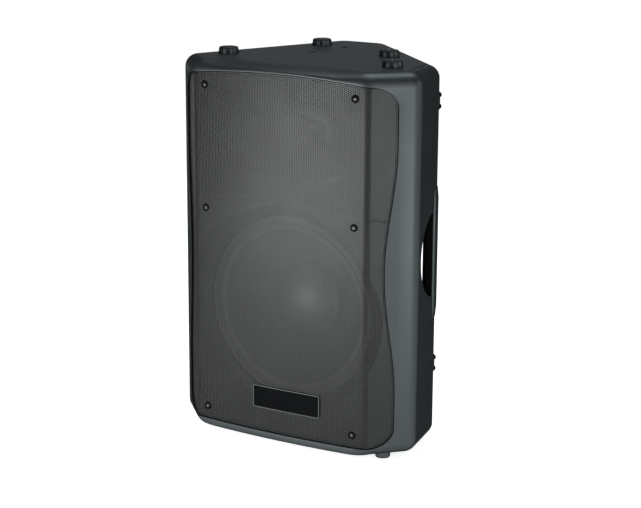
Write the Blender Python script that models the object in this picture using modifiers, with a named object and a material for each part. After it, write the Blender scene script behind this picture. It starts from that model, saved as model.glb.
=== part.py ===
"""Two-way moulded PA loudspeaker cabinet with a wrap-round grille, built piece by piece.

Metres, +Z up. The front looks along -Y, +X is on the right of someone facing the grille.
The origin is on the floor, under the middle of the cabinet's box.
"""
import math

import bmesh
import bpy
from mathutils import Matrix, Vector

# Cabinet seen from above: crowned front, two wings, a short right side, a long monitor side
HALF_WIDTH = 0.1968
DEPTH = 0.332
CROWN = 0.0076
CREASE_X = 0.144
CROWN_FACETS = 4
WING_DEPTH = 0.0595
SIDE_END_X = 0.181
SIDE_END_Y = 0.1485
REAR_LEFT_X = -0.0855
MONITOR_ANGLE = math.radians(45)
CREASE_R = 0.006
WING_R = 0.016
SIDE_R = 0.016
REAR_R = 0.034

# Heights and walls
BODY_HEIGHT = 0.548
RIM_R = 0.012
RIM_STEPS = 3
LEAST_R = 0.0008
SEAM_Y = 0.070
SEAM_RISE = 0.0475
SEAM_HALF = 0.140
WALL = 0.006
FRONT_WALL = 0.0125
GAP = 0.0003

# Grille sheet and the wavy recess it lies in
GRILLE_SET = 0.0025
GRILLE_SHEET = 0.0012
RECESS_SET = 0.0065
GRILLE_EDGE_GAP = 0.0009
GRILLE_HALF_WIDTH = 0.1757
GRILLE_LOW_Z = 0.0215
GRILLE_HIGH_Z = 0.5485
GRILLE_ARCH = 0.0085
GRILLE_CORNER_R = 0.030
WAIST_Z = 0.278
WAIST_REACH = 0.180
WAIST_DIP = 0.0122

# Plain openings in the sheet that stand for its fine holes
OPENING_ROWS = 12
OPENING_BAR = 0.008
OPENING_MARGIN = 0.0085
OPENING_LEAST = 0.006

# Grille screws
SCREW_X = 0.124
SCREW_HEIGHTS = (0.0406, 0.3433, 0.523)
SCREW_HEAD_R = 0.0048
SCREW_HEAD_H = 0.0022
SCREW_SHANK_R = 0.0019
SCREW_LENGTH = 0.011
SCREW_PLAY = 0.0009
BOSS_R = 0.0062

# Bare badge plate on the grille
BADGE_X = 0.017
BADGE_Z = 0.0745
BADGE_WIDTH = 0.112
BADGE_HEIGHT = 0.034
BADGE_SHEET = 0.0018
BADGE_CORNER_R = 0.003

# Woofer, with heights along its axis counted forward from its mounting floor
WOOFER_Z = 0.2025
DISH_R = 0.1605
DISH_WALL = 0.005
DISH_FLOOR_Y = 0.048
DISH_FLOOR_T = 0.006
FRAME_PLAY = 0.0055
FRAME_R = DISH_R - FRAME_PLAY
FRAME_T = 0.005
FRAME_LAND = 0.0135
HOLE_R = FRAME_R - FRAME_LAND
HOLE_PLAY = 0.002
BASKET_R = HOLE_R - HOLE_PLAY
BASKET_T = 0.004
SURROUND_SPAN = 0.018
CONE_R = BASKET_R - SURROUND_SPAN
COIL_R = 0.0376
SPIDER_R = 0.095
SPIDER_SEAT = -0.069
BASKET_CUP_R = 0.088
BASKET_BACK = -0.088
CONE_NECK = -0.060
ROLL_HEIGHT = 0.005
DUST_CAP_R = 0.050
DUST_CAP_H = 0.020
TOP_PLATE_T = 0.008
MAGNET_T = 0.020
MAGNET_R = 0.078
BACK_PLATE_T = 0.008
PLATE_R = 0.066
AIR_GAP = 0.0010
WINDING_T = 0.0010
VENT_R = 0.012
WINDOW_COUNT = 6
WINDOW_WIDTH = 0.078

# Horn and its driver
HORN_Z = 0.456
HORN_SET = 0.0045
HORN_FLANGE_T = 0.003
HORN_FLANGE_HALF = 0.131
HORN_LOW_Z = 0.3745
HORN_LOW_ARC_R = 0.615
MOUTH_HALF_W = 0.118
MOUTH_HALF_H = 0.066
HORN_WALL = 0.0035
THROAT_R = 0.0127
THROAT_Y = 0.118
THROAT_FLANGE_R = 0.042
THROAT_FLANGE_T = 0.006
DRIVER_R = 0.056
DRIVER_LENGTH = 0.052
DRIVER_CHAMBER_R = 0.030
DRIVER_CHAMBER_FRONT = 0.010
DRIVER_CHAMBER_DEPTH = 0.014

# Reflex ports in the lower corners of the baffle
PORT_INNER_X = 0.070
PORT_OUTER_X = 0.112
PORT_LOW_Z = 0.034
PORT_HIGH_Z = 0.078
PORT_R = 0.006
PORT_WALL = 0.003
PORT_LENGTH = 0.045

# Carrying handle at the right rear edge
HANDLE_Z = 0.289
HANDLE_CENTRE = (0.150, 0.1525)
HANDLE_TURN = math.radians(31)
POCKET_LONG = 0.081
POCKET_DEEP = 0.044
POCKET_TALL = 0.089
POCKET_WALL = 0.004
GRIP_LENGTH = 0.190
GRIP_FRONT = 0.018
GRIP_BACK = 0.030
GRIP_DEPTH = 0.021
GRIP_PROUD = 0.002
GRIP_FADE = 0.016
GRIP_R = 0.006
GRIP_CLEAR = 0.0012

# Feet, monitor pads, flying points and pole socket
FOOT_R = 0.015
FOOT_HEIGHT = 0.010
TOP_FOOT_INSET = 0.0598
TOP_FOOT_X = HALF_WIDTH - TOP_FOOT_INSET
TOP_FOOT_Y = 0.089
BOTTOM_FOOT_INSET = 0.0468
BOTTOM_FOOT_X = HALF_WIDTH - BOTTOM_FOOT_INSET
BOTTOM_FOOT_Y = 0.053
REAR_FEET = {"rear_left": (-0.072, 0.246), "rear_right": (0.0785, 0.185)}
TOP_FEET = {"front_left": (-TOP_FOOT_X, TOP_FOOT_Y), "front_right": (TOP_FOOT_X, TOP_FOOT_Y), **REAR_FEET}
BOTTOM_FEET = {"front_left": (-BOTTOM_FOOT_X, BOTTOM_FOOT_Y), "front_right": (BOTTOM_FOOT_X, BOTTOM_FOOT_Y),
               **REAR_FEET}
PAD_LENGTH = 0.034
PAD_HEIGHT = 0.026
PAD_BASE_T = 0.004
PAD_RIB_T = 0.004
PAD_RIB_W = 0.006
PAD_RIB_STEP = 0.0165
PAD_FRONT_S = 0.027
PAD_REAR_S = 0.215
PAD_LEVELS = {"low": 0.1175, "high": 0.5055}
FLY_POINTS = {"front": (-0.041, 0.168), "rear": (-0.031, 0.244)}
INSERT_R = 0.0062
INSERT_LENGTH = 0.016
INSERT_BORE_R = 0.0034
POLE_POINT = (-0.006, 0.152)
POLE_BORE_R = 0.0178
POLE_WALL = 0.0028
POLE_DEPTH = 0.082
POLE_FLANGE_R = 0.040
POLE_FLANGE_T = 0.003

# Amplifier module on the left face; x runs towards the rear, y outwards, z up
PANEL_Z = 0.285
PANEL_S = 0.150
PANEL_HALF_W = 0.085
PANEL_HALF_H = 0.165
PANEL_T = 0.003
PANEL_SINK = 0.0047
PANEL_LIP = 0.008
PANEL_FRAME_T = 0.014
PANEL_R = 0.006
KNOB_DROP = 0.037
KNOB_Z = PANEL_HALF_H - KNOB_DROP
KNOB_XS = {"mic_level": -0.054, "line_level": -0.018, "bass": 0.018, "treble": 0.054}
KNOB_R = 0.0085
KNOB_H = 0.014
KNOB_SHAFT_R = 0.003
SHAFT_LENGTH = 0.012
SOCKET_DROP = 0.089
SOCKET_Z = PANEL_HALF_H - SOCKET_DROP
COMBO_X = -0.050
LINK_X = 0.000
JACKS_X = 0.048
SOCKET_FLANGE = (0.026, 0.031)
SOCKET_FLANGE_T = 0.002
SOCKET_BODY_R = 0.0125
SOCKET_BORE_R = 0.0108
SOCKET_BORE_DEPTH = 0.015
SOCKET_DEPTH = 0.020
LATCH_SIZE = (0.006, 0.004, 0.0035)
PIN_R = 0.0012
PIN_RING_R = 0.0055
JACK_STEP = 0.014
JACK_R = 0.0042
JACK_LENGTH = 0.009
INLET_X = -0.062
INLET_RISE = 0.070
INLET_Z = INLET_RISE - PANEL_HALF_H
INLET_FLANGE = (0.024, 0.031)
INLET_MOUTH = (0.0155, 0.0235)
INLET_BODY = (0.019, 0.027)
INLET_DEPTH = 0.018
SWITCH_RISE = 0.025
SWITCH_Z = SWITCH_RISE - PANEL_HALF_H
SWITCH_FLANGE = (0.016, 0.026)
SWITCH_MOUTH = (0.0106, 0.0206)
SWITCH_BODY = (0.013, 0.0225)
SWITCH_DEPTH = 0.012
ROCKER_LENGTH = 0.018
ROCKER_TILT = math.radians(10)
SINK_X = 0.018
SINK_RISE = 0.019
SINK_LOW = SINK_RISE - PANEL_HALF_H
SINK_DROP = 0.050
SINK_HIGH = SOCKET_Z - SINK_DROP
SINK_WIDTH = 0.116
SINK_BASE = 0.004
SINK_FIN_H = 0.014
SINK_FIN_T = 0.0024
SINK_FINS = 11
TOROID_X = 0.022
TOROID_RISE = 0.072
TOROID_Z = TOROID_RISE - PANEL_HALF_H
TOROID_R = 0.048
TOROID_BORE = 0.014
TOROID_T = 0.036
BOARD_HALF_W = 0.074
BOARD_CLEAR = 0.005
BOARD_LOW = TOROID_Z + TOROID_R + BOARD_CLEAR
BOARD_DROP = 0.021
BOARD_HIGH = PANEL_HALF_H - BOARD_DROP
BOARD_T = 0.0016
BOARD_SETBACK = 0.028
POST_R = 0.0035
POST_INSET = 0.006
CAP_R = 0.0125
CAP_LENGTH = 0.030
CAP_X = 0.045
CAP_RISES = (0.070, 0.102)

# Smoothness of round shapes
ARC_STEP = math.radians(13)
FINE_STEPS = 24
MOUTH_STEPS = 20
ROUND_STEPS = 16
SMALL_STEPS = 12

BODY_LOW = FOOT_HEIGHT
BODY_HIGH = FOOT_HEIGHT + BODY_HEIGHT
REAR_RIGHT_X = SIDE_END_X - (DEPTH - SIDE_END_Y) / math.tan(MONITOR_ANGLE)
BIG = 0.7

FINISHES = {
    "moulded_shell": ((0.064, 0.075, 0.078), 0.55, 0.0),
    "grille_steel": ((0.050, 0.054, 0.055), 0.45, 0.6),
    "black_plastic": ((0.018, 0.020, 0.021), 0.5, 0.0),
    "rubber": ((0.020, 0.024, 0.025), 0.8, 0.0),
    "black_screw": ((0.015, 0.015, 0.016), 0.4, 0.8),
    "steel": ((0.42, 0.43, 0.44), 0.35, 1.0),
    "ferrite": ((0.03, 0.03, 0.033), 0.7, 0.0),
    "paper_cone": ((0.045, 0.045, 0.047), 0.85, 0.0),
    "doped_cloth": ((0.030, 0.030, 0.032), 0.75, 0.0),
    "spider_cloth": ((0.42, 0.30, 0.14), 0.9, 0.0),
    "copper": ((0.60, 0.27, 0.12), 0.4, 1.0),
    "painted_panel": ((0.022, 0.023, 0.024), 0.45, 0.3),
    "aluminium": ((0.05, 0.05, 0.052), 0.4, 0.9),
    "board": ((0.03, 0.12, 0.06), 0.5, 0.0),
    "winding": ((0.35, 0.20, 0.05), 0.5, 0.0),
}


def clear_scene():
    for item in list(bpy.data.objects):
        bpy.data.objects.remove(item, do_unlink=True)


def new_collection(name):
    group = bpy.data.collections.new(name)
    bpy.context.scene.collection.children.link(group)
    return group


def finish(name):
    if name in bpy.data.materials:
        return bpy.data.materials[name]
    colour, roughness, metallic = FINISHES[name]
    material = bpy.data.materials.new(name)
    material.use_nodes = True
    shader = material.node_tree.nodes["Principled BSDF"]
    shader.inputs["Base Color"].default_value = (*colour, 1.0)
    shader.inputs["Roughness"].default_value = roughness
    shader.inputs["Metallic"].default_value = metallic
    return material


def frame(name, location, turn_z=0.0, tip_x=0.0, parent=None):
    """An empty that carries pieces: location, a turn about Z and a tip about X."""
    empty = bpy.data.objects.new(name, None)
    PARTS.objects.link(empty)
    empty.location = location
    empty.rotation_euler = (tip_x, 0.0, turn_z)
    empty.parent = parent
    return empty


def place(name, mesh, parent, finish_name=None):
    """A piece with its finish, or a hidden cutter when no finish is given."""
    item = bpy.data.objects.new(name, mesh)
    item.parent = parent
    if finish_name is None:
        CUTTERS.objects.link(item)
        item.hide_render = True
        item.display_type = "WIRE"
    else:
        PARTS.objects.link(item)
        mesh.materials.append(finish(finish_name))
    return item


def combine(item, other, operation="DIFFERENCE"):
    step = item.modifiers.new(operation.title(), "BOOLEAN")
    step.operation = operation
    step.object = other
    step.solver = "EXACT"
    return item


def from_bmesh(name, shape):
    mesh = bpy.data.meshes.new(name)
    bmesh.ops.recalc_face_normals(shape, faces=shape.faces)
    shape.to_mesh(mesh)
    shape.free()
    return mesh


def slab_mesh(name, outline, low, high):
    """A flat outline in XY made solid between two heights."""
    curve = bpy.data.curves.new(name, "CURVE")
    curve.dimensions = "2D"
    curve.fill_mode = "BOTH"
    curve.extrude = (high - low) / 2
    spline = curve.splines.new("POLY")
    spline.points.add(len(outline) - 1)
    for point, (x, y) in zip(spline.points, outline):
        point.co = (x, y, 0.0, 1.0)
    spline.use_cyclic_u = True
    holder = bpy.data.objects.new(name, curve)
    CUTTERS.objects.link(holder)
    graph = bpy.context.evaluated_depsgraph_get()
    solid = bpy.data.meshes.new_from_object(holder.evaluated_get(graph))
    bpy.data.objects.remove(holder, do_unlink=True)
    shape = bmesh.new()
    shape.from_mesh(solid)
    bmesh.ops.remove_doubles(shape, verts=shape.verts, dist=1e-6)
    bmesh.ops.dissolve_limit(shape, angle_limit=0.001, verts=shape.verts, edges=shape.edges)
    bmesh.ops.translate(shape, verts=shape.verts, vec=(0, 0, (low + high) / 2))
    return from_bmesh(name, shape)


def upright_slab_mesh(name, outline, front, back):
    """A front-view outline in XZ made solid between two depths."""
    mesh = slab_mesh(name, outline, -back, -front)
    mesh.transform(Matrix.Rotation(math.pi / 2, 4, "X"))
    return mesh


def loft_mesh(name, rings):
    """Closed rings of equal count joined one after the other, with both ends capped."""
    shape = bmesh.new()
    loops = []
    for ring_points in rings:
        corners = [shape.verts.new(point) for point in ring_points]
        loops.append([shape.edges.new((corners[k - 1], corners[k])) for k in range(len(corners))])
    for first, second in zip(loops, loops[1:]):
        bmesh.ops.bridge_loops(shape, edges=first + second)
    bmesh.ops.holes_fill(shape, edges=loops[0])
    bmesh.ops.holes_fill(shape, edges=loops[-1])
    return from_bmesh(name, shape)


def box_mesh(name, low, high):
    shape = bmesh.new()
    bmesh.ops.create_cube(shape, size=1.0)
    low, high = Vector(low), Vector(high)
    bmesh.ops.scale(shape, verts=shape.verts, vec=high - low)
    bmesh.ops.translate(shape, verts=shape.verts, vec=(low + high) / 2)
    return from_bmesh(name, shape)


def rod(shape, radius, start, end, steps=SMALL_STEPS):
    """Adds a capped cylinder between two points to a bmesh."""
    start, end = Vector(start), Vector(end)
    aim = (end - start).to_track_quat("Z", "Y").to_matrix().to_4x4()
    turn = Matrix.Translation((start + end) / 2) @ aim
    bmesh.ops.create_cone(shape, cap_ends=True, segments=steps, radius1=radius, radius2=radius,
                          depth=(end - start).length, matrix=turn)


def rods_mesh(name, rods, steps=SMALL_STEPS):
    shape = bmesh.new()
    for radius, start, end in rods:
        rod(shape, radius, start, end, steps)
    return from_bmesh(name, shape)


def turned(name, profile, parent, finish_name, steps=ROUND_STEPS):
    """A profile of (radius, height) points turned about Z; the outer side has to run downwards."""
    closed = profile[0][0] > 0 or profile[-1][0] > 0
    loop = zip(profile, profile[1:] + profile[:1])
    area = sum(a[0] * b[1] - b[0] * a[1] for a, b in loop)
    points = profile if area < 0 else profile[::-1]
    last = len(points)
    edges = [(i, (i + 1) % last) for i in range(last if closed else last - 1)]
    edges = [(i, j) for i, j in edges if points[i][0] > 0 or points[j][0] > 0]
    mesh = bpy.data.meshes.new(name)
    mesh.from_pydata([(r, 0.0, h) for r, h in points], edges, [])
    item = place(name, mesh, parent, finish_name)
    step = item.modifiers.new("Turn", "SCREW")
    step.steps = steps
    step.render_steps = steps
    step.use_merge_vertices = True
    step.merge_threshold = 1e-5
    return item


def ellipsoid_mesh(name, semi_axes, turn, centre):
    shape = bmesh.new()
    bmesh.ops.create_uvsphere(shape, u_segments=20, v_segments=12, radius=1.0)
    size = Matrix.Diagonal((*semi_axes, 1.0))
    matrix = Matrix.Translation(centre) @ Matrix.Rotation(turn, 4, "Z") @ size
    bmesh.ops.transform(shape, matrix=matrix, verts=shape.verts)
    return from_bmesh(name, shape)


def inset(corners, distance):
    """Moves every side of an anticlockwise outline inwards; each corner is (x, y, radius)."""
    count = len(corners)
    sides = []
    for i in range(count):
        start = Vector(corners[i][:2])
        along = (Vector(corners[(i + 1) % count][:2]) - start).normalized()
        sides.append((start + Vector((-along.y, along.x)) * distance, along))
    moved = []
    for i in range(count):
        (p, u), (q, v) = sides[i - 1], sides[i]
        reach = (q - p).cross(v) / u.cross(v) if abs(u.cross(v)) > 1e-9 else (q - p).dot(u)
        point = p + u * reach
        radius = max(corners[i][2] - distance, LEAST_R) if corners[i][2] else 0.0
        moved.append((point.x, point.y, radius))
    return moved


def filleted(corners):
    """Replaces each corner that has a radius by an arc."""
    count = len(corners)
    points = []
    for i in range(count):
        x, y, radius = corners[i]
        here = Vector((x, y))
        to_last = (Vector(corners[i - 1][:2]) - here).normalized()
        to_next = (Vector(corners[(i + 1) % count][:2]) - here).normalized()
        turn = math.pi - to_last.angle(to_next)
        if not radius or turn < 0.02:
            points.append((x, y))
            continue
        centre = here + (to_last + to_next).normalized() * radius / math.cos(turn / 2)
        first = here + to_last * radius * math.tan(turn / 2) - centre
        steps = max(2, round(turn / ARC_STEP))
        way = 1 if first.cross(here + to_next * radius * math.tan(turn / 2) - centre) > 0 else -1
        for k in range(steps + 1):
            angle = way * turn * k / steps
            arm = Matrix.Rotation(angle, 2) @ first
            points.append((centre.x + arm.x, centre.y + arm.y))
    return points


def rectangle(width, height, radius, centre=(0.0, 0.0)):
    cx, cy = centre
    w, h = width / 2, height / 2
    return filleted([(cx - w, cy - h, radius), (cx + w, cy - h, radius),
                     (cx + w, cy + h, radius), (cx - w, cy + h, radius)])


def crown_y(x):
    return CROWN * (x / CREASE_X) ** 2


def facet_edges():
    """Where the crowned front's flat strips meet, from crease to crease."""
    return [CREASE_X * k / CROWN_FACETS for k in range(-CROWN_FACETS, CROWN_FACETS + 1)]


def plan_corners():
    """The cabinet from above, anticlockwise from the left crease, front at y = 0."""
    front = [(x, crown_y(x), 0.0) for x in facet_edges()[1:-1]]
    return [(-CREASE_X, CROWN, CREASE_R), *front, (CREASE_X, CROWN, CREASE_R),
            (HALF_WIDTH, WING_DEPTH, WING_R), (SIDE_END_X, SIDE_END_Y, SIDE_R),
            (REAR_RIGHT_X, DEPTH, REAR_R), (REAR_LEFT_X, DEPTH, REAR_R),
            (-HALF_WIDTH, WING_DEPTH, WING_R)]


def plan(distance):
    return filleted(inset(plan_corners(), distance))


def plan_prism(name, distance, low=-BIG, high=BIG):
    """A tall prism of the cabinet's plan, inset by a distance: a curved surface to cut along."""
    return place(name, slab_mesh(name, plan(distance), low, high), CABINET)


def body_mesh(name):
    """The whole cabinet block with its top and bottom rims rounded."""
    quarter = [math.pi / 2 * k / RIM_STEPS for k in range(RIM_STEPS + 1)]
    low = [(RIM_R * (1 - math.sin(a)), BODY_LOW + RIM_R * (1 - math.cos(a))) for a in quarter]
    high = [(d, BODY_LOW + BODY_HIGH - z) for d, z in reversed(low)]
    return loft_mesh(name, [[(x, y, z) for x, y in plan(d)] for d, z in low + high])


def grille_half_width(z):
    reach = (z - WAIST_Z) / WAIST_REACH
    dip = WAIST_DIP * 0.5 * (1 + math.cos(math.pi * reach)) if abs(reach) < 1 else 0.0
    return GRILLE_HALF_WIDTH - dip


def grille_top(x):
    return GRILLE_HIGH_Z - GRILLE_ARCH * (x / CREASE_X) ** 2


def grille_outline(distance):
    """Front view of the wavy recess, anticlockwise; the right half is mirrored for the left."""
    inner_x = GRILLE_HALF_WIDTH - GRILLE_CORNER_R
    low_z = GRILLE_LOW_Z + GRILLE_CORNER_R
    high_z = grille_top(inner_x) - GRILLE_CORNER_R
    quarter = [math.pi / 2 * k / 6 for k in range(7)]
    low_arc = [(inner_x + GRILLE_CORNER_R * math.sin(a), low_z - GRILLE_CORNER_R * math.cos(a))
               for a in quarter]
    high_arc = [(inner_x + GRILLE_CORNER_R * math.cos(a), high_z + GRILLE_CORNER_R * math.sin(a))
                for a in quarter]
    levels = [low_z + (high_z - low_z) * k / 12 for k in range(1, 12)]
    right = low_arc + [(grille_half_width(z), z) for z in levels] + high_arc
    crest = [(inner_x * k / 3, grille_top(inner_x * k / 3)) for k in (2, 1)]
    half = right + crest
    left = [(-x, z) for x, z in reversed(half)]
    outline = half + [(0.0, grille_top(0.0))] + left
    moved = inset([(x, z, 0.0) for x, z in outline], distance)
    return [(x, z) for x, z, _ in moved]


def surface_point(x, z, distance):
    """A point of the crowned front at an inset, and the slope of the surface there."""
    slope = 2 * CROWN * x / CREASE_X ** 2
    return Vector((x, crown_y(x) + distance, z)), math.atan(slope)


def screw_places():
    names = ("low", "middle", "high")
    return [(f"{level}_{side}", sign * SCREW_X, z)
            for level, z in zip(names, SCREW_HEIGHTS) for side, sign in (("left", -1), ("right", 1))]


def screw_rods(radius, start, end):
    """One rod on each screw axis, between two insets of the front surface."""
    rods = []
    for _, x, z in screw_places():
        point, slope = surface_point(x, z, GRILLE_SET)
        inward = Vector((-math.sin(slope), math.cos(slope), 0.0))
        rods.append((radius, point + inward * (start - GRILLE_SET), point + inward * (end - GRILLE_SET)))
    return rods


def mouth_outline(grow, power=5.0, count=MOUTH_STEPS, half_w=MOUTH_HALF_W, half_h=MOUTH_HALF_H):
    """A superellipse round the horn's axis, in front view."""
    points = []
    for k in range(count):
        a = 2 * math.pi * k / count
        c, s = math.cos(a), math.sin(a)
        x = math.copysign(abs(c) ** (2 / power), c) * (half_w + grow)
        z = math.copysign(abs(s) ** (2 / power), s) * (half_h + grow)
        points.append((x, HORN_Z + z))
    return points


def flare_mesh(name, grow, front, back):
    """A loft from the mouth's rounded rectangle to the round throat."""
    rings = []
    stations = [front] + [THROAT_Y * k / 5 for k in range(5)] + [back]
    for y in stations:
        t = min(max(y / THROAT_Y, 0.0), 1.0)
        share = (1 - t) ** 1.25
        half_w = THROAT_R + (MOUTH_HALF_W - THROAT_R) * share
        half_h = THROAT_R + (MOUTH_HALF_H - THROAT_R) * share
        outline = mouth_outline(grow, 2 + 3 * (1 - t), MOUTH_STEPS, half_w, half_h)
        rings.append([(x, y, z) for x, z in outline])
    return loft_mesh(name, rings)


def port_corners(sign):
    """A rounded triangle in the lower corner, outside the dish; anticlockwise."""
    corners = [(PORT_INNER_X, PORT_LOW_Z), (PORT_OUTER_X, PORT_LOW_Z), (PORT_OUTER_X, PORT_HIGH_Z)]
    if sign < 0:
        corners = [(-x, z) for x, z in reversed(corners)]
    return [(x, z, PORT_R) for x, z in corners]


def seam_line(gap):
    """The parting line of the two shells from above: it bows back in the middle."""
    bow = [SEAM_HALF * k / 6 for k in range(-6, 7)]
    middle = [(x, SEAM_Y + gap + SEAM_RISE * (1 - (x / SEAM_HALF) ** 2)) for x in bow]
    return [(-BIG, SEAM_Y + gap), *middle, (BIG, SEAM_Y + gap)]


def make_front_shell():
    """Bezel, wings and baffle in one moulding."""
    shell = place("front_shell", body_mesh("front_shell"), CABINET, "moulded_shell")
    behind = seam_line(0.0) + [(BIG, BIG), (-BIG, BIG)]
    combine(shell, place("behind_seam", slab_mesh("behind_seam", behind, -BIG, BIG), CABINET))
    hollow = slab_mesh("front_hollow", plan(FRONT_WALL), BODY_LOW + FRONT_WALL, BODY_HIGH - FRONT_WALL)
    combine(shell, place("front_hollow", hollow, CABINET))

    cup = turned("dish_cup", [(0.0, DISH_FLOOR_Y), (DISH_R + DISH_WALL, DISH_FLOOR_Y),
                              (DISH_R + DISH_WALL, -DISH_FLOOR_T), (0.0, -DISH_FLOOR_T)],
                 WOOFER, None, FINE_STEPS)
    combine(cup, PLAN_RECESS, "INTERSECT")
    combine(shell, cup, "UNION")
    for sign, side in ((1, "right"), (-1, "left")):
        outer = filleted(inset(port_corners(sign), -PORT_WALL))
        duct = place(f"port_duct_{side}",
                     upright_slab_mesh(f"port_duct_{side}", outer, RECESS_SET + CROWN, PORT_LENGTH), CABINET)
        combine(shell, duct, "UNION")

    recess = place("grille_recess", upright_slab_mesh("grille_recess", grille_outline(0.0), -BIG, SEAM_Y / 1.2),
                   CABINET)
    combine(recess, PLAN_RECESS)
    combine(shell, recess)
    combine(shell, place("boss_rods", rods_mesh("boss_rods", screw_rods(
        BOSS_R, GRILLE_SET + GRILLE_SHEET + GAP, FRONT_WALL - WALL / 4)), CABINET), "UNION")

    for sign, side in ((1, "right"), (-1, "left")):
        bore = upright_slab_mesh(f"port_bore_{side}", filleted(port_corners(sign)), -BIG, SEAM_Y)
        combine(shell, place(f"port_bore_{side}", bore, CABINET))
    rebate = place("horn_rebate", upright_slab_mesh("horn_rebate", horn_panel_outline(GAP), -BIG, SEAM_Y), CABINET)
    combine(rebate, plan_prism("plan_rebate", HORN_SET + HORN_FLANGE_T + GAP))
    combine(shell, rebate)
    combine(shell, place("horn_hole", upright_slab_mesh("horn_hole", mouth_outline(HORN_WALL + 0.001), -BIG, SEAM_Y),
                         CABINET))
    ahead, behind = 2 * DISH_FLOOR_Y, -2 * DISH_FLOOR_T
    combine(shell, turned("dish_bore", [(0.0, ahead), (DISH_R, ahead), (DISH_R, 0.0), (0.0, 0.0)], WOOFER, None,
                          FINE_STEPS))
    combine(shell, turned("woofer_hole", [(0.0, ahead), (HOLE_R, ahead), (HOLE_R, behind), (0.0, behind)], WOOFER,
                          None, FINE_STEPS - 4))
    pilot = rods_mesh("screw_pilots", screw_rods(SCREW_SHANK_R + SCREW_PLAY / 2, -SCREW_LENGTH, 2 * SCREW_LENGTH))
    combine(shell, place("screw_pilots", pilot, CABINET))
    return shell


def horn_panel_outline(grow):
    """Front view of the horn's flange: arched foot, straight sides, top along the grille's arch."""
    low = [(HORN_FLANGE_HALF * k / 4, HORN_LOW_Z) for k in range(-4, 5)]
    low = [(x, z - HORN_LOW_ARC_R + math.sqrt(HORN_LOW_ARC_R ** 2 - x ** 2)) for x, z in low]
    margin = GRILLE_CORNER_R / 3
    high = [(HORN_FLANGE_HALF * k / 3, grille_top(HORN_FLANGE_HALF * k / 3) - margin) for k in range(3, -4, -1)]
    return [(x, z) for x, z, _ in inset([(x, z, 0.0) for x, z in low + high], -grow)]


def make_rear_shell():
    """Tapered rear moulding with the handle pocket and the amplifier's seat."""
    shell = place("rear_shell", body_mesh("rear_shell"), CABINET, "moulded_shell")
    before = [(-BIG, -BIG), (BIG, -BIG)] + seam_line(GAP)[::-1]
    combine(shell, place("before_seam", slab_mesh("before_seam", before, -BIG, BIG), CABINET))
    hollow = slab_mesh("rear_hollow", plan(WALL), BODY_LOW + WALL, BODY_HIGH - WALL)
    combine(shell, place("rear_hollow", hollow, CABINET))

    hole = ellipsoid_mesh("pocket_hole", pocket_axes(POCKET_WALL + GAP), HANDLE_TURN, pocket_centre())
    combine(shell, place("pocket_hole", hole, CABINET))

    seat_w, seat_h = PANEL_HALF_W + PANEL_LIP, PANEL_HALF_H + PANEL_LIP
    frame_box = box_mesh("panel_frame", (-seat_w, -PANEL_FRAME_T, -seat_h), (seat_w, -WALL / 2, seat_h))
    combine(shell, place("panel_frame", frame_box, AMP), "UNION")
    rebate = rectangle(2 * (PANEL_HALF_W + GAP), 2 * (PANEL_HALF_H + GAP), PANEL_R)
    combine(shell, place("panel_rebate", face_slab("panel_rebate", rebate, -panel_back() - GAP, BIG), AMP))
    opening = rectangle(2 * (PANEL_HALF_W - PANEL_LIP), 2 * (PANEL_HALF_H - PANEL_LIP), PANEL_R)
    combine(shell, place("panel_opening", face_slab("panel_opening", opening, -2 * PANEL_FRAME_T, BIG), AMP))

    bosses = [(2 * INSERT_R, (x, y, BODY_HIGH - INSERT_LENGTH - WALL / 2), (x, y, BODY_HIGH - WALL / 2))
              for x, y in FLY_POINTS.values()]
    combine(shell, place("insert_bosses", rods_mesh("insert_bosses", bosses), CABINET), "UNION")
    holes = [(INSERT_R + GAP, (x, y, BODY_HIGH - INSERT_LENGTH - GAP), (x, y, BODY_HIGH + WALL))
             for x, y in FLY_POINTS.values()]
    combine(shell, place("insert_holes", rods_mesh("insert_holes", holes), CABINET))
    x, y = POLE_POINT
    hole = [(POLE_BORE_R + POLE_WALL + 2 * GAP, (x, y, BODY_LOW - WALL), (x, y, BODY_LOW + 2 * WALL))]
    combine(shell, place("pole_hole", rods_mesh("pole_hole", hole, ROUND_STEPS), CABINET))
    return shell


def pocket_axes(wall):
    return (POCKET_DEEP + wall, POCKET_LONG + wall, POCKET_TALL + wall)


def pocket_centre():
    return (*HANDLE_CENTRE, HANDLE_Z)


def panel_back():
    return PANEL_SINK + PANEL_T


def face_slab(name, outline, low, high):
    """A solid on the amplifier's face: its outline lies in x and z, its thickness along y."""
    mesh = slab_mesh(name, outline, -high, -low)
    mesh.transform(Matrix.Rotation(math.pi / 2, 4, "X"))
    return mesh


def on_pad(left, low, right, high):
    """Whether a rectangle of the front view meets a screw's pad or the badge."""
    pads = [(x, z, BOSS_R, BOSS_R) for _, x, z in screw_places()]
    pads.append((BADGE_X, BADGE_Z, BADGE_WIDTH / 2, BADGE_HEIGHT / 2))
    return any(left < x + w and right > x - w and low < z + h and high > z - h for x, z, w, h in pads)


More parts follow.
